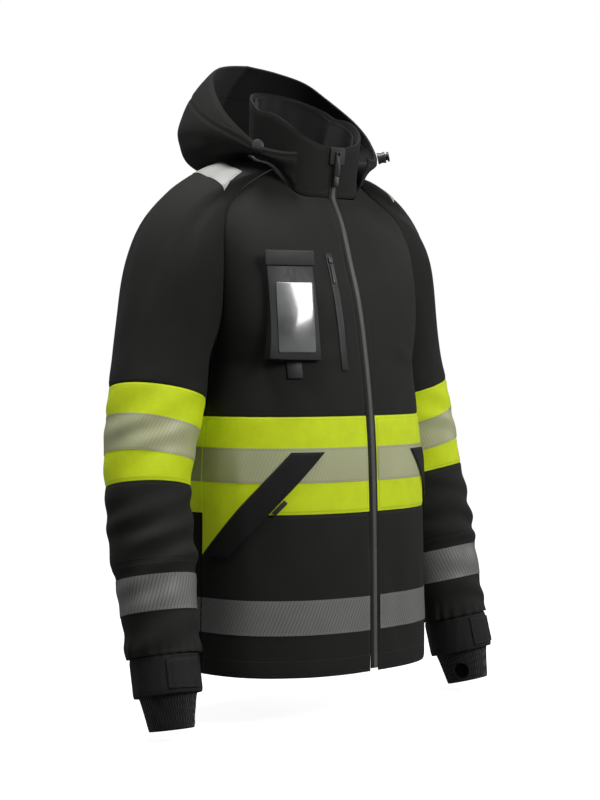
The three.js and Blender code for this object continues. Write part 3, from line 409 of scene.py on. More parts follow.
def cloth(name, surface, us, vs, materials, nodes=(), side=LEFT, lift=0.0, wall=3.0, ring=False, tuck=0.9,
          fold=1.0, body=None, bend=None, held="stretched", relief=None):
    """A closed shell of cloth on a surface (u, v), its outer face lifted along the normal by the folds.

    tuck draws the cloth in at its sewn edges: tuck * exp(-(distance to the edge / 3 mm) squared).
    The UV map "cloth" holds the lengths along both parameters in metres, and "seam" the distance to the
    nearest edge and the length along it.
    """
    u, v = np.meshgrid(us, vs)
    p = surface(u, v)
    p[..., 0] *= side
    stretched = np.concatenate([p[:, -2:-1], p, p[:, 1:2]], 1) if ring else p
    du, dv = np.gradient(stretched, axis=1), np.gradient(stretched, axis=0)
    normal = np.cross(du, dv)
    normal = normal[:, 1:-1] if ring else normal
    normal = unit(normal)
    if ring:
        normal[:, -1] = normal[:, 0]
    sign = np.sign(np.mean(np.sum(normal * (p - p.mean((0, 1))), -1)))
    normal = normal * sign
    run = lambda d, axis: np.concatenate(
        [np.zeros_like(np.take(p[..., 0], [0], axis)), np.cumsum(np.linalg.norm(d, axis=-1), axis)], axis
    )
    across, up = run(np.diff(p, axis=1), 1), run(np.diff(p, axis=0), 0)
    edge_v = np.minimum(up, up[-1:] - up)
    edge_u = np.full_like(across, 1e3) if ring else np.minimum(across, across[:, -1:] - across)
    edge = np.minimum(edge_u, edge_v)
    length = np.where(edge_v <= edge_u, across, up)
    stand = lift + fold * folds(p) - tuck * np.exp(-((edge / 3) ** 2))
    if relief is not None:
        stand = stand + relief(u, v, across, up)
    outer = p + normal * stand[..., None]
    thin = wall - np.minimum(wall * 0.35, 1.0) * np.exp(-((edge / 2.5) ** 2))
    inner = outer - normal * thin[..., None]
    rows, columns = p.shape[:2]
    kept = columns - 1 if ring else columns
    points = np.concatenate([outer[:, :kept].reshape(-1, 3), inner[:, :kept].reshape(-1, 3)])
    r, c = np.meshgrid(np.arange(rows - 1), np.arange(columns - 1), indexing="ij")
    corners = [(r, c), (r, c + 1), (r + 1, c + 1), (r + 1, c)]
    logical = np.stack([a * columns + b for a, b in corners], -1).reshape(-1, 4)
    real = np.stack([a * kept + b % kept for a, b in corners], -1).reshape(-1, 4)
    under = rows * kept
    rims, rims_logical = [], []

    def rim(line, back):
        """Quads between the two layers along one edge of the grid."""
        a = np.array([i * kept + j % kept for i, j in line])
        b = np.array([i * columns + j for i, j in line])
        q = np.stack([a[:-1], a[:-1] + under, a[1:] + under, a[1:]], -1)
        k = np.stack([b[:-1], b[:-1], b[1:], b[1:]], -1)
        rims.append(q[:, ::-1] if back else q)
        rims_logical.append(k[:, ::-1] if back else k)

    rim([(0, j) for j in range(columns)], False)
    rim([(rows - 1, j) for j in range(columns)], True)
    if not ring:
        rim([(i, 0) for i in range(rows)], True)
        rim([(i, columns - 1) for i in range(rows)], False)
    faces = np.concatenate([real, real[:, ::-1] + under, *rims])
    where = np.concatenate([logical, logical[:, ::-1], *rims_logical])
    inside = np.full(len(real), len(materials) - 1)
    which = np.concatenate([np.zeros(len(real)), inside, np.zeros(sum(map(len, rims)))])
    if sign < 0:
        faces, where = faces[:, ::-1], where[:, ::-1]
    made = put_mesh(name, points, faces, materials, which)
    for map_name, a, b in (("cloth", across, up), ("seam", edge, length)):
        uv = np.stack([a.ravel()[where.ravel()], b.ravel()[where.ravel()]], -1) * MM
        made.data.uv_layers.new(name=map_name).data.foreach_set("uv", uv.astype(np.float32).ravel())
    made.data.shade_smooth()
    made.data.set_sharp_from_angle(angle=math.radians(55))
    finish_piece(made, body or BODY_OF[nodes[0]], nodes, bend)
    if held:
        quads = p[:-1, :-1], p[:-1, 1:], p[1:, 1:], p[1:, :-1]
        area = np.linalg.norm(np.cross(quads[2] - quads[0], quads[3] - quads[1]), axis=-1).sum() / 2
        wide, long = across[:, -1].max(), up[-1].max()
        wide * MM
        long * MM
        min(area, wide * long) * MM * MM
    return made


def refined(node, material, bevel=0.5, levels=0, name=None):
    """A copy of a hard piece with its edges rounded, which takes the plain one's place."""
    source = frame["nodes"][node]
    mesh = source.data.copy()
    mesh.name = name or f"{node}_part"
    shape = bmesh.new()
    shape.from_mesh(mesh)
    bmesh.ops.remove_doubles(shape, verts=shape.verts, dist=2e-5)
    flat = [e for e in shape.edges if len(e.link_faces) == 2 and e.calc_face_angle(0) < 0.02]
    bmesh.ops.dissolve_edges(shape, edges=flat, use_verts=False)
    shape.to_mesh(mesh)
    shape.free()
    mesh.materials.clear()
    mesh.materials.append(material)
    made = bpy.data.objects.new(mesh.name, mesh)
    bpy.context.scene.collection.objects.link(made)
    if bevel:
        rounded = made.modifiers.new("rounded", "BEVEL")
        rounded.width = bevel * MM
        rounded.segments = 2
        rounded.limit_method = "ANGLE"
        rounded.angle_limit = math.radians(35)
    baked = bpy.data.meshes.new_from_object(made.evaluated_get(bpy.context.evaluated_depsgraph_get()))
    made.modifiers.clear()
    made.data = baked
    made.data.shade_smooth()
    made.data.set_sharp_from_angle(angle=math.radians(40))
    return finish_piece(made, BODY_OF[node], [node])


# ------------------------------------------------------------------ materials
class Number:
    """A shader number: sums, products and comparisons on it add Math nodes."""

    def __init__(self, paint, socket):
        self.paint, self.socket = paint, socket

    def join(self, operation, a, b=0.0):
        return Number(self.paint, self.paint.node("Math", {"operation": operation}, [a, b]).outputs[0])

    def __add__(self, other):
        return self.join("ADD", self, other)

    def __sub__(self, other):
        return self.join("SUBTRACT", self, other)

    def __rsub__(self, other):
        return self.join("SUBTRACT", other, self)

    def __mul__(self, other):
        return self.join("MULTIPLY", self, other)

    def __truediv__(self, other):
        return self.join("DIVIDE", self, other)

    def __lt__(self, other):
        return self.join("LESS_THAN", self, other)

    def __gt__(self, other):
        return self.join("GREATER_THAN", self, other)

    def __abs__(self):
        return self.join("ABSOLUTE", self)

    __radd__, __rmul__ = __add__, __mul__

    def fraction(self):
        return self.join("FRACT", self)

    def wave(self, length):
        """A sine over that length."""
        return self.join("SINE", self * (2 * math.pi / length))

    def near(self, other):
        """1 where both are: the smaller of two masks."""
        return self.join("MINIMUM", self, other)


class Paint:
    """A material being made on one Principled shader."""

    def __init__(self, name, roughness=0.8, **fixed):
        self.material = bpy.data.materials.new(name)
        self.material.use_nodes = True
        self.tree = self.material.node_tree
        self.shader = self.tree.nodes["Principled BSDF"]
        self.shader.inputs["Roughness"].default_value = roughness
        for socket, value in fixed.items():
            self.shader.inputs[socket.replace("_", " ")].default_value = value

    def plug(self, socket, value):
        if isinstance(value, Number):
            value = value.socket
        if isinstance(value, bpy.types.NodeSocket):
            self.tree.links.new(value, socket)
        else:
            opaque = socket.type == "RGBA" and isinstance(value, tuple) and len(value) == 3
            socket.default_value = (*value, 1) if opaque else value

    def node(self, kind, settings=None, sockets=()):
        """Any node: its settings first, then its sockets by number or name."""
        made = self.tree.nodes.new("ShaderNode" + kind)
        for name, value in (settings or {}).items():
            if name == "stops":
                for element, (place, shade) in zip(made.color_ramp.elements, value):
                    element.position, element.color = place, (*shade, 1)
            else:
                setattr(made, name, value)
        for key, value in dict(enumerate(sockets) if isinstance(sockets, (list, tuple)) else sockets).items():
            self.plug(made.inputs[key], value)
        return made

    def uv(self, name):
        parts = self.node("SeparateXYZ", {}, [self.node("UVMap", {"uv_map": name}).outputs["UV"]])
        return Number(self, parts.outputs[0]), Number(self, parts.outputs[1])

    def place(self):
        return self.node("TexCoord").outputs["Object"]

    def noise(self, scale, detail=3.0, rough=0.5):
        settings = {"Vector": self.place(), "Scale": scale, "Detail": detail, "Roughness": rough}
        made = self.node("TexNoise", {}, settings)
        return Number(self, made.outputs["Fac"])

    def mix(self, a, b, share):
        made = self.node("Mix", {"data_type": "RGBA"}, {0: share, 6: a, 7: b})
        return made.outputs[2]

    def finish(self, color=None, roughness=None, height=None, distance=0.0004, strength=0.6):
        if color is not None:
            self.plug(self.shader.inputs["Base Color"], color)
        if roughness is not None:
            self.plug(self.shader.inputs["Roughness"], roughness)
        if height is not None:
            bump = self.node("Bump", {}, {"Strength": strength, "Distance": distance, "Height": height})
            self.tree.links.new(bump.outputs[0], self.shader.inputs["Normal"])
        return self.material


def stitching(paint, seats):
    """Rows of dashes at those distances from the sewn edges, in metres."""
    edge, length = paint.uv("seam")
    dash = (length / 0.0034).fraction() < 0.7
    rows = sum((abs(edge - seat) < 0.00042) * 1.0 for seat in seats[1:]) if len(seats) > 1 else None
    first = (abs(edge - seats[0]) < 0.00042) * 1.0
    line = first if rows is None else first + rows
    return line.near(dash * 1.0), line


def woven(name, color, thread, seats=(0.0045,), roughness=0.82, pitch=0.0011, sheen=0.03, glow=0.0, hem=None):
    """Plain-woven cloth with faint mottling, and stitching beside its seams and above a hem; glow adds
    painted glow, the cloth emitting its own colour.
    """
    paint = Paint(name, roughness, Sheen_Weight=sheen, Sheen_Roughness=0.45, Specular_IOR_Level=0.22)
    u, v = paint.uv("cloth")
    weave = u.wave(pitch) * v.wave(pitch)
    mottle = paint.noise(38, 4.0, 0.6)
    grain = paint.noise(900, 2.0, 0.6)
    dark = tuple(c * 0.80 for c in color)
    light = tuple(min(1, c * 1.16 + 0.001) for c in color)
    base = paint.mix(dark, light, mottle * 0.75 + grain * 0.35 - 0.05)
    height = weave * 0.25 + grain * 0.5
    if seats:
        dashes, line = stitching(paint, seats)
        if hem:
            row = (abs(v - hem) < 0.00045) * 1.0
            line = line + row
            dashes = dashes + row.near(((u / 0.0034).fraction() < 0.7) * 1.0)
        base = paint.mix(base, thread, dashes * 0.85)
        height = height + dashes * 1.3 - line * 1.6
    # Painted glow: the cloth emits its own base colour at the glow strength, though it is no lamp.
    if glow:
        paint.plug(paint.shader.inputs["Emission Color"], base)
        paint.shader.inputs["Emission Strength"].default_value = glow
    return paint.finish(base, mottle * 0.12 + (roughness - 0.08), height, 0.0005, 0.7)


def striped_tape(name, ground, dark=(0.37, 0.375, 0.24), light=(0.53, 0.535, 0.34)):
    """Grey glass-bead tape cut into segments by fine leaning lines, which let the cloth behind show."""
    paint = Paint(name, 0.42, Specular_IOR_Level=0.45)
    u, v = paint.uv("cloth")
    gap = ((u + v * 0.42) / 0.0052).fraction() < 0.17
    edge, length = paint.uv("seam")
    border = edge < 0.0012
    line = gap * 1.0
    speckle = paint.noise(1500, 2.0, 0.7)
    cloudy = paint.noise(24, 3.0, 0.5)
    grey = paint.mix(dark, light, cloudy * 0.8 + speckle * 0.2)
    base = paint.mix(grey, ground, line * 0.85)
    dashes = (abs(edge - 0.0026) < 0.0004).near((length / 0.0034).fraction() < 0.7)
    base = paint.mix(base, (0.22, 0.22, 0.21), dashes * 0.8 + border * 0.2)
    return paint.finish(base, line * 0.35 + 0.4, speckle * 0.3 - line * 1.0 + dashes * 0.6, 0.0003, 0.6)


def plain_tape(name):
    """The same tape without segments."""
    paint = Paint(name, 0.42, Specular_IOR_Level=0.45)
    edge, length = paint.uv("seam")
    speckle, cloudy = paint.noise(1500, 2.0, 0.7), paint.noise(30, 3.0, 0.5)
    grey = paint.mix((0.29, 0.29, 0.28), (0.41, 0.41, 0.39), cloudy * 0.8 + speckle * 0.2)
    dashes = (abs(edge - 0.003) < 0.0004).near((length / 0.0034).fraction() < 0.7)
    base = paint.mix(grey, (0.2, 0.2, 0.2), dashes * 0.9)
    return paint.finish(base, cloudy * 0.1 + 0.38, speckle * 0.3 + dashes * 0.6, 0.0003)


def fleece(name, color, sheen=0.35):
    """Short brushed pile."""
    paint = Paint(name, 0.95, Sheen_Weight=sheen, Sheen_Roughness=0.6, Specular_IOR_Level=0.15)
    pile, clump = paint.noise(520, 3.0, 0.7), paint.noise(90, 3.0, 0.6)
    base = paint.mix(tuple(c * 0.7 for c in color), tuple(c * 1.35 for c in color), pile * 0.6 + clump * 0.4)
    return paint.finish(base, clump * 0.05 + 0.9, pile + clump * 0.6, 0.0009, 0.9)


def knitted(name, color):
    """Ribbed knit: columns of stitches along the piece's length, with painted shade in the grooves between
    the ribs and the rib tops painted lighter.
    """
    paint = Paint(name, 0.9, Sheen_Weight=0.2, Sheen_Roughness=0.5, Specular_IOR_Level=0.2)
    u, v = paint.uv("cloth")
    rib, loop = u.wave(0.0036), v.wave(0.0019)
    fuzz = paint.noise(1100, 2.0, 0.7)
    dark, light = tuple(c * 0.6 for c in color), tuple(c * 1.4 for c in color)
    # Painted shade and light: the rib wave that raises the bump also darkens the grooves and lightens the rib
    # tops; the fuzz adds random tone.
    base = paint.mix(dark, light, rib * 0.3 + fuzz * 0.5 + 0.25)
    return paint.finish(base, fuzz * 0.1 + 0.85, rib * 0.7 + loop * 0.25 + fuzz * 0.3, 0.0007, 0.8)


def hard(name, dark, light, roughness, metallic=0.0, grain=700, coat=0.0):
    """Moulded or plated finish with a fine grain and slight wear."""
    paint = Paint(name, roughness, Metallic=metallic, Coat_Weight=coat, Coat_Roughness=0.2)
    fine_grain, wear = paint.noise(grain, 3.0, 0.6), paint.noise(120, 4.0, 0.65)
    base = paint.mix(dark, light, wear * 0.7 + fine_grain * 0.3)
    return paint.finish(base, wear * 0.25 + (roughness - 0.1), fine_grain, 0.00012, 0.4)


def clear_sheet(name):
    """Clear soft plastic over a pale backing, a little scuffed."""
    paint = Paint(name, 0.16, Coat_Weight=0.6, Coat_Roughness=0.08, Specular_IOR_Level=0.6)
    haze, scuff = paint.noise(14, 2.0, 0.5), paint.noise(260, 4.0, 0.7)
    base = paint.mix((0.06, 0.062, 0.062), (0.24, 0.245, 0.245), haze * 1.5 - 0.3)
    return paint.finish(base, scuff * 0.18 + 0.1, haze * 0.8 + scuff * 0.2, 0.0008, 0.35)


BLACK, YELLOW = (0.0128, 0.0131, 0.0118), (0.57, 0.70, 0.010)
THREAD = (0.034, 0.034, 0.031)
shell_cloth = woven("shell_cloth", BLACK, THREAD)
collar_cloth = woven("collar_cloth", BLACK, THREAD, seats=(0.006,))
hem_cloth = woven("hem_cloth", BLACK, THREAD, seats=(0.004,), hem=0.024)
TRIM_BLACK, YELLOW_THREAD = (0.0095, 0.0097, 0.0095), (0.33, 0.47, 0.01)
trim_cloth = woven("trim_cloth", TRIM_BLACK, THREAD, seats=(0.003,), pitch=0.0016, roughness=0.7)
yellow_cloth = woven(
    "fluorescent_cloth", YELLOW, YELLOW_THREAD, seats=(0.004,), roughness=0.62, sheen=0.02, glow=0.12
)
lining_cloth = fleece("lining_fleece", (0.021, 0.021, 0.022))
# Painted shade: the insides of the hood and collar use the lining fleece darkened further for the shade
# within them; the fleece itself is dark.
hood_lining_painted_shade = fleece("hood_lining_painted_shade", (0.008, 0.008, 0.008), 0.08)
rib_cloth = knitted("rib_knit", (0.012, 0.012, 0.013))
tape_on_yellow = striped_tape("tape_on_yellow", (0.36, 0.43, 0.05))
tape_on_black = striped_tape("tape_on_black", (0.05, 0.05, 0.048), (0.15, 0.15, 0.145), (0.22, 0.22, 0.215))
shoulder_tape = plain_tape("shoulder_tape")
zip_metal = hard("zip_metal", (0.03, 0.03, 0.03), (0.11, 0.11, 0.11), 0.36, 0.85)
teeth_plastic = hard("teeth_plastic", (0.10, 0.10, 0.098), (0.21, 0.21, 0.205), 0.36)
black_plastic = hard("black_plastic", (0.022, 0.022, 0.022), (0.05, 0.05, 0.05), 0.34)
holder_cloth = hard("badge_holder_cloth", (0.007, 0.007, 0.007), (0.014, 0.014, 0.014), 0.55, grain=1400)
window_plastic = clear_sheet("clear_window")
LINED = [shell_cloth, lining_cloth]

# ------------------------------------------------------------------ body panels
SEAM = 0.35
WAIST_TAPE, HEM_TAPE = (-487, -437), (-705, -655)
SIDE = 0.9995  # the share of the half width at which a panel meets the side seam
TAPE_SIDE = 0.9985


def rows(level_of):
    """A front piece whose rows run between two levels that change with the column."""
    return lambda column, row: front_row(column, level_of(column, row))


TAPES = (("waist", WAIST_TAPE, tape_on_yellow), ("hem", HEM_TAPE, tape_on_black))
band_rows = rows(lambda column, row: lerp(front_band_edge(column), BAND_TOP - SEAM, row))
skirt_rows = rows(lambda column, row: lerp(HEM, front_band_edge(column) - SEAM, row))
for side, word in SIDES:
    cloth(f"chest_{word}", front_row, fine(0, SIDE, 56, 0.012), fine(BAND_TOP + SEAM, -0.6, 74), LINED,
          [f"chest_panel_{word}"], side=side)
    cloth(f"waist_band_{word}_cloth", band_rows, fine(0, SIDE, 56), fine(0, 1, 44),
          [yellow_cloth, lining_cloth], [f"waist_band_{word}"], side=side)
    cloth(f"skirt_{word}", skirt_rows, fine(0, SIDE, 56), fine(0, 1, 60), [hem_cloth, lining_cloth],
          [f"skirt_panel_{word}"], side=side)
    for name, (low, high), finish in TAPES:
        cloth(f"{name}_tape_{word}_strip", front_row, np.linspace(0.004, TAPE_SIDE, 90),
              np.linspace(low, high, 14), [finish], [f"{name}_tape_{word}"], lift=0.75, wall=0.6, tuck=0,
              side=side)
cloth("back_cloth", back_row, fine(-SIDE, SIDE, 96, 0.012), fine(BAND_TOP + SEAM, -0.6, 74), LINED,
      ["back_panel"])
cloth("waist_band_back_cloth", back_row, fine(-SIDE, SIDE, 96), fine(BAND_BOTTOM, BAND_TOP - SEAM, 36),
      [yellow_cloth, lining_cloth], ["waist_band_back"])
cloth("skirt_back", back_row, fine(-SIDE, SIDE, 96), fine(HEM, BAND_BOTTOM - SEAM, 56),
      [hem_cloth, lining_cloth], ["skirt_panel_back"])
for name, (low, high), finish in TAPES:
    cloth(f"{name}_tape_back_strip", back_row, np.linspace(-TAPE_SIDE, TAPE_SIDE, 160),
          np.linspace(low, high, 14), [finish], [f"{name}_tape_back"], lift=0.75, wall=0.6, tuck=0)

# ------------------------------------------------------------------ sleeves
for side, word in SIDES:
    body, sleeve_body, lower = "jacket_body", f"sleeve_{word}", f"forearm_{word}"
    cloth(f"sleeve_top_{word}", cap, np.linspace(0, 20, 141), fine(0.0005, 0.997, 70, 0.012), LINED,
          [f"raglan_{word}", f"upper_sleeve_{word}"], side=side, ring=True,
          bend=(body, sleeve_body, (side * 0.19, 0.03, -0.12), (side * 0.262, 0.028, -0.355)))
    cloth(f"sleeve_band_{word}_cloth", sleeve, np.linspace(0, 360, 113), fine(SEAM, 136 - SEAM, 36, 0.03),
          [yellow_cloth, lining_cloth], [f"sleeve_band_{word}"], side=side, ring=True)
    cloth(f"sleeve_tape_{word}_strip", sleeve, np.linspace(0, 360, 161), np.linspace(45, 95, 14),
          [tape_on_yellow], [f"sleeve_tape_{word}"], side=side, ring=True, lift=0.75, wall=0.6, tuck=0)
    cloth(f"elbow_{word}_cloth", sleeve, np.linspace(0, 360, 113), fine(136 + SEAM, 246, 44, 0.03), LINED,
          [f"elbow_{word}"], side=side, ring=True, tuck=0.5,
          bend=(sleeve_body, lower, (side * 0.292, 0.010, -0.490), (side * 0.299, -0.005, -0.600)))
    cloth(f"forearm_{word}_cloth", sleeve, np.linspace(0, 360, 113), fine(246, 376, 44, 0.03), LINED,
          [f"forearm_{word}"], side=side, ring=True, tuck=0.5)
    cloth(f"forearm_tape_{word}_strip", sleeve, np.linspace(0, 360, 161), np.linspace(266, 316, 14),
          [tape_on_black], [f"forearm_tape_{word}"], side=side, ring=True, lift=0.75, wall=0.6, tuck=0)
    cuff = lambda turn, along: arm_point(turn, along, np.full(np.shape(along), 49.0))
    cloth(f"cuff_{word}_band", cuff, np.linspace(0, 360, 97), fine(376.6, 431, 18, 0.06),
          [trim_cloth, lining_cloth], [f"cuff_{word}"], side=side, ring=True, wall=2.2, fold=0.15, tuck=1.0)


def rib_radius(along):
    return lerp(46, 32, np.clip((along - 419.4) / (ARM - 419.4), 0, 1) ** 0.6)


def rib(turn, along):
    return arm_point(turn, along, rib_radius(along))


def thumb_hole(made, side):
    """Bores the rib's wall for the thumb."""
    foot = arm_point(np.array(150.0), ARM - 18, np.array(0.0))
    tip = arm_point(np.array(150.0), ARM - 18, np.array(60.0))
    foot[0], tip[0] = foot[0] * side, tip[0] * side
    way = Vector(tip - foot).normalized()
    shape = bmesh.new()
    bmesh.ops.create_cone(shape, cap_ends=True, segments=48, radius1=12 * MM, radius2=12 * MM, depth=60 * MM)
    turn = way.to_track_quat("Z", "Y").to_matrix().to_4x4()
    turn.translation = Vector(foot) * MM + way * 0.035
    bmesh.ops.transform(shape, matrix=turn, verts=shape.verts)
    tool_mesh = bpy.data.meshes.new("thumb_tool")
    shape.to_mesh(tool_mesh)
    shape.free()
    tool = bpy.data.objects.new("thumb_tool", tool_mesh)
    bpy.context.scene.collection.objects.link(tool)
    cut = made.modifiers.new("thumb", "BOOLEAN")
    cut.operation, cut.solver, cut.object = "DIFFERENCE", "EXACT", tool
    baked = bpy.data.meshes.new_from_object(made.evaluated_get(bpy.context.evaluated_depsgraph_get()))
    made.modifiers.clear()
    made.data = baked
    bpy.data.objects.remove(tool)


for side, word in SIDES:
    hem_in = lambda up: 0.5 * np.exp(-(((up - up.max()) / 3) ** 2))
    ribs = lambda u, v, across, up: 0.28 * np.cos(u * math.radians(1) * 58) - hem_in(up)
    rib_rows = np.linspace(419.4, ARM - 0.5, 26)
    knit = cloth(f"rib_{word}_knit", rib, np.linspace(0, 360, 349), rib_rows, [rib_cloth],
                 [f"rib_cuff_{word}"], side=side, ring=True, wall=1.5, fold=0.12, tuck=0.2, relief=ribs)
    thumb_hole(knit, side)
    way = lambda turn: (turn - 52) / 60
    tab_width = lambda turn, row: lerp(lerp(384, 381.4, way(turn)), lerp(424, 426.4, way(turn)), row)
    tab = lambda turn, row: arm_point(turn, tab_width(turn, row), np.full(np.shape(turn), 49.0))
    cloth(f"cuff_tab_{word}_strap", tab, fine(52, 112, 28, 0.03), fine(0, 1, 16, 0.04), [trim_cloth],
          [f"cuff_tab_{word}"], side=side, lift=2.7, wall=1.9, fold=0.1, tuck=0.5)

# ------------------------------------------------------------------ collar, hood and shoulder patches
first = 78 * float(share_at(ZIP_EDGE, -0.4))
cloth("collar_cloth", collar, np.linspace(first, 360 - first, 170), fine(0.008, 1, 26, 0.05),
      [collar_cloth, hood_lining_painted_shade], ["collar"], wall=3.8, fold=0.5, tuck=0.9,
      relief=lambda u, v, across, up: 0.5 * np.exp(-(((up - up.max() + 4) / 3) ** 2)))


def slouch(u, v, across, up):
    """The hood's own folds: level rolls that grow towards its middle, and a bulge low at each side."""
    angle = np.minimum(u, 360 - u)
    middle = np.sin(np.pi * np.clip(v / 0.85, 0, 1)) ** 2
    rolls = 2.2 * np.sin(up * 2 * np.pi / 58 + np.radians(u) * 1.6) * middle
    bulge = 13 * np.exp(-(((angle - 132) / 32) ** 2) - ((v - 0.34) / 0.17) ** 2)
    pinch = -3.2 * np.exp(-(((angle - 76) / 10) ** 2)) * middle
    return rolls + bulge + pinch


cloth("hood_cloth", hood, np.linspace(45, 315, 201), fine(0.004, 0.85, 66), [shell_cloth, hood_lining_painted_shade],
      ["hood"], wall=2.8, tuck=0.9, relief=slouch,
      bend=("jacket_body", "hood_rim", (0, 0.0047, -0.0156), (0, -0.0038, 0.0128)))


def inward(share_in, drop):
    """The collar drawn in towards the neck's middle by a share, and lowered."""
    def surface(degrees, share):
        p = collar(degrees, share)
        return triple(p[..., 0] * share_in, 3 + (p[..., 1] - 3) * share_in, p[..., 2] - drop)
    return surface


def crumple(height):
    """Soft upright folds, wandering with the height."""
    def relief(u, v, across, up):
        angle = np.radians(u)
        upright = np.sin(angle * 9 + 2.2 * v) * np.sin(angle * 2.5 + 1)
        return height * (upright + 0.6 * np.sin(angle * 4 - v * 3))
    return relief


cloth("collar_facing", inward(0.88, 3), np.linspace(24, 336, 190), fine(0.12, 0.97, 30), [hood_lining_painted_shade], [],
      wall=2.2, fold=0.5, tuck=1.5, relief=crumple(2.6), body="jacket_body")
cloth("hood_channel", hood, np.linspace(45, 315, 181), fine(0.852, 1, 16, 0.08), [collar_cloth, hood_lining_painted_shade],
      ["hood_brim"], wall=3.6, tuck=1.0, lift=0.4)


def shoulder(run, fall):
    """The sleeve top's point whose x less 0.45 z is run and whose y plus 0.6 z is fall, by Newton steps."""
    measure = lambda p: (p[..., 0] - 0.45 * p[..., 2], p[..., 1] + 0.6 * p[..., 2])
    spoke, share = np.zeros(run.shape), np.full(run.shape, 0.2)
    for _ in range(60):
        here = cap(spoke, share)
        ax, ay = measure((cap(spoke + 0.05, share) - here) / 0.05)
        bx, by = measure((cap(spoke, share + 0.005) - here) / 0.005)
        dx, dy = (target - now for target, now in zip((run, fall), measure(here)))
        area = ax * by - ay * bx
        spoke = spoke + np.clip((dx * by - dy * bx) / area, -0.3, 0.3)
        share = np.clip(share + np.clip((ax * dy - ay * dx) / area, -0.04, 0.04), 0.004, 1)
    return cap(spoke, share)


def patch(w, s):
    """A strip over the shoulder, from the front seam to the back; w runs outwards."""
    return shoulder(lerp(lerp(154, 211, w), lerp(139, 192, w), s), lerp(lerp(-40, -66, w), 30, s))


for side, word in SIDES:
    cloth(f"shoulder_patch_{word}_strip", patch, np.linspace(0, 1, 18), np.linspace(0, 1, 44),
          [shoulder_tape], [f"shoulder_patch_{word}"], side=side, lift=1.0, wall=0.7, tuck=0.3)

# ------------------------------------------------------------------ front zip
COLLAR_TOP = collar(np.array(0.0), np.array(1.0))
kinked = lambda z: np.where(
    z > FRONT_NECK, lerp(-68, COLLAR_TOP[1], (z - FRONT_NECK) / (COLLAR_TOP[2] - FRONT_NECK)), -front_depth(z)
)


def front_line(z):
    """The fronts' meeting line in profile, eased where the collar begins: a mean over 16 mm."""
    return sum(kinked(z + d) * w for d, w in ((-8, 0.15), (-4, 0.2), (0, 0.3), (4, 0.2), (8, 0.15)))


zip_top = COLLAR_TOP[2] - 6


def teeth(side, word):
    """A row of small chamfered blocks along the zip's line, every 2.9 mm."""
    z = np.arange(HEM + 6, zip_top, 2.9) + (0.7 if side < 0 else -0.7)
    y = front_line(z)
    slope = np.gradient(y, z)
    out = unit(triple(0, -1, slope))
    up = unit(triple(0, slope, 1))
    block = np.array([(x, n, s) for n, w in ((-0.2, 1.0), (1.0, 1.0), (1.4, 0.72)) for x, s in
                      ((0.1, -1.05 * w), (3.5 * w, -0.8 * w), (3.5 * w, 0.8 * w), (0.1, 1.05 * w))])
    base = triple(0, y, z)[:, None]
    points = base + block[None, :, 0, None] * np.array([side, 0, 0]) + out[:, None] * block[None, :, 1, None]
    points = points + up[:, None] * block[None, :, 2, None]
    quads = [(0, 3, 2, 1), (8, 9, 10, 11)]
    for layer in (0, 4):
        quads += [(layer + k, layer + (k + 1) % 4, layer + 4 + (k + 1) % 4, layer + 4 + k) for k in range(4)]
    faces = np.array(quads)[None] + (np.arange(len(z)) * 12)[:, None, None]
    faces = faces.reshape(-1, 4)
    faces = faces if side > 0 else faces[:, ::-1]
    made = put_mesh(f"front_zip_teeth_{word}", points.reshape(-1, 3), faces, [teeth_plastic])
    shape = bmesh.new()
    shape.from_mesh(made.data)
    bmesh.ops.recalc_face_normals(shape, faces=shape.faces)
    shape.to_mesh(made.data)
    shape.free()
    return finish_piece(made, "jacket_body", [])


zip_strip = lambda x, z: triple(x, front_line(z), z)
for side, word in SIDES:
    cloth(f"zip_tape_{word}", zip_strip, np.linspace(0.2, 8.6, 6), np.linspace(HEM + 4, zip_top, 160),
          [trim_cloth], [f"zip_half_{word}"], side=side, lift=-0.5, wall=1.3, fold=0.0, tuck=0, held=None)
    teeth(side, word)

# ------------------------------------------------------------------ hand pockets
def front_arc(distance, level):
    """The point that far round the front from its centre line, along a level row."""
    shares = np.linspace(0, 1, 80)
    out = np.empty((*np.shape(distance), 3))
    for k in range(out.shape[0]):
        line = torso(True, shares, np.full(80, level[k, 0]))
        run = np.r_[0, np.cumsum(np.linalg.norm(np.diff(line, axis=0), axis=1))]
        for axis in range(3):
            out[k, :, axis] = np.interp(distance[k], run, line[:, axis])
    return out


welt = lambda across, level: front_arc(92 + (-443 - level) * 147 / 152 + across, level)
for side, word in SIDES:
    cloth(f"pocket_welt_{word}_strip", welt, fine(0, 51, 16, 0.05), fine(-595, -443, 50), [trim_cloth],
          [f"pocket_welt_{word}"], side=side, lift=3.9, wall=1.5, tuck=0.9)

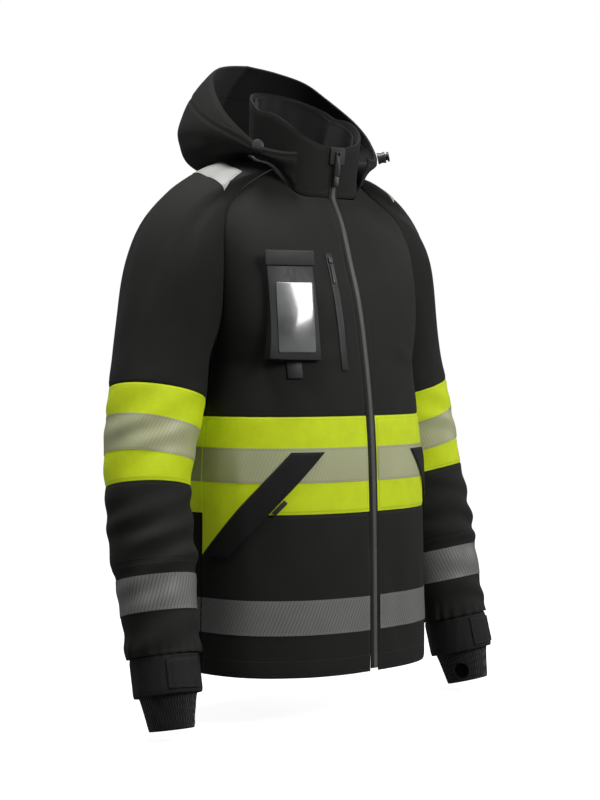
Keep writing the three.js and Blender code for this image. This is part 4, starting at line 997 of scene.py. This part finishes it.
# ------------------------------------------------------------------ trims
TRIMS = [
    ("zip_slider", zip_metal, 0.7), ("zip_puller", zip_metal, 0.5), ("chest_zip_slider", zip_metal, 0.5),
    ("chest_zip_puller", zip_metal, 0.4), ("id_pocket", holder_cloth, 0.8),
    ("id_window", window_plastic, 0.35),
    ("id_flap", holder_cloth, 0.7), ("id_loop", holder_cloth, 0.4), ("chin_guard", holder_cloth, 0.5),
    ("chest_zip", holder_cloth, 0.4),
]
for word in ("left", "right"):
    TRIMS += [(f"pocket_zip_puller_{word}", zip_metal, 0.4), (f"cord_lock_{word}", black_plastic, 0.5),
              (f"cord_button_{word}", black_plastic, 0.5)]
for node, finish, bevel in TRIMS:
    refined(node, finish, bevel)

# ------------------------------------------------------------------ floor and backdrop
FLOOR = -842
REACH = 9e3  # half the floor's width, and the backdrop's radius
corners = np.array([(x * REACH, y * REACH, FLOOR) for x, y in ((-1, -1), (1, -1), (1, 1), (-1, 1))])
floor = put_mesh("floor", corners, np.array([[0, 1, 2, 3]]), [])
pale = Paint("pale_floor", 0.9, Emission_Color=(1, 1, 1, 1), Emission_Strength=0.93)
floor.data.materials.append(pale.finish((0.4, 0.4, 0.4)))
RINGS, SECTORS = 24, 48
sectors = np.linspace(0, 2 * np.pi, SECTORS, endpoint=False)
around, up = np.meshgrid(sectors, np.linspace(-0.999, 0.999, RINGS) * np.pi / 2)
dome_points = REACH * triple(np.cos(around) * np.cos(up), np.sin(around) * np.cos(up), np.sin(up))
dome_points = dome_points.reshape(-1, 3)
r, c = np.meshgrid(np.arange(RINGS - 1), np.arange(SECTORS), indexing="ij")
after, low, high = (c + 1) % SECTORS, r * SECTORS, (r + 1) * SECTORS
dome_faces = np.stack([low + c, low + after, high + after, high + c], -1).reshape(-1, 4)
dome = put_mesh("backdrop", dome_points, dome_faces, [])
white = Paint("backdrop_white", 1.0, Emission_Color=(1, 1, 1, 1), Emission_Strength=1.0)
dome.data.materials.append(white.finish((0.0, 0.0, 0.0)))
dome.visible_diffuse = dome.visible_glossy = dome.visible_transmission = dome.visible_shadow = False
floor.visible_diffuse = floor.visible_glossy = False
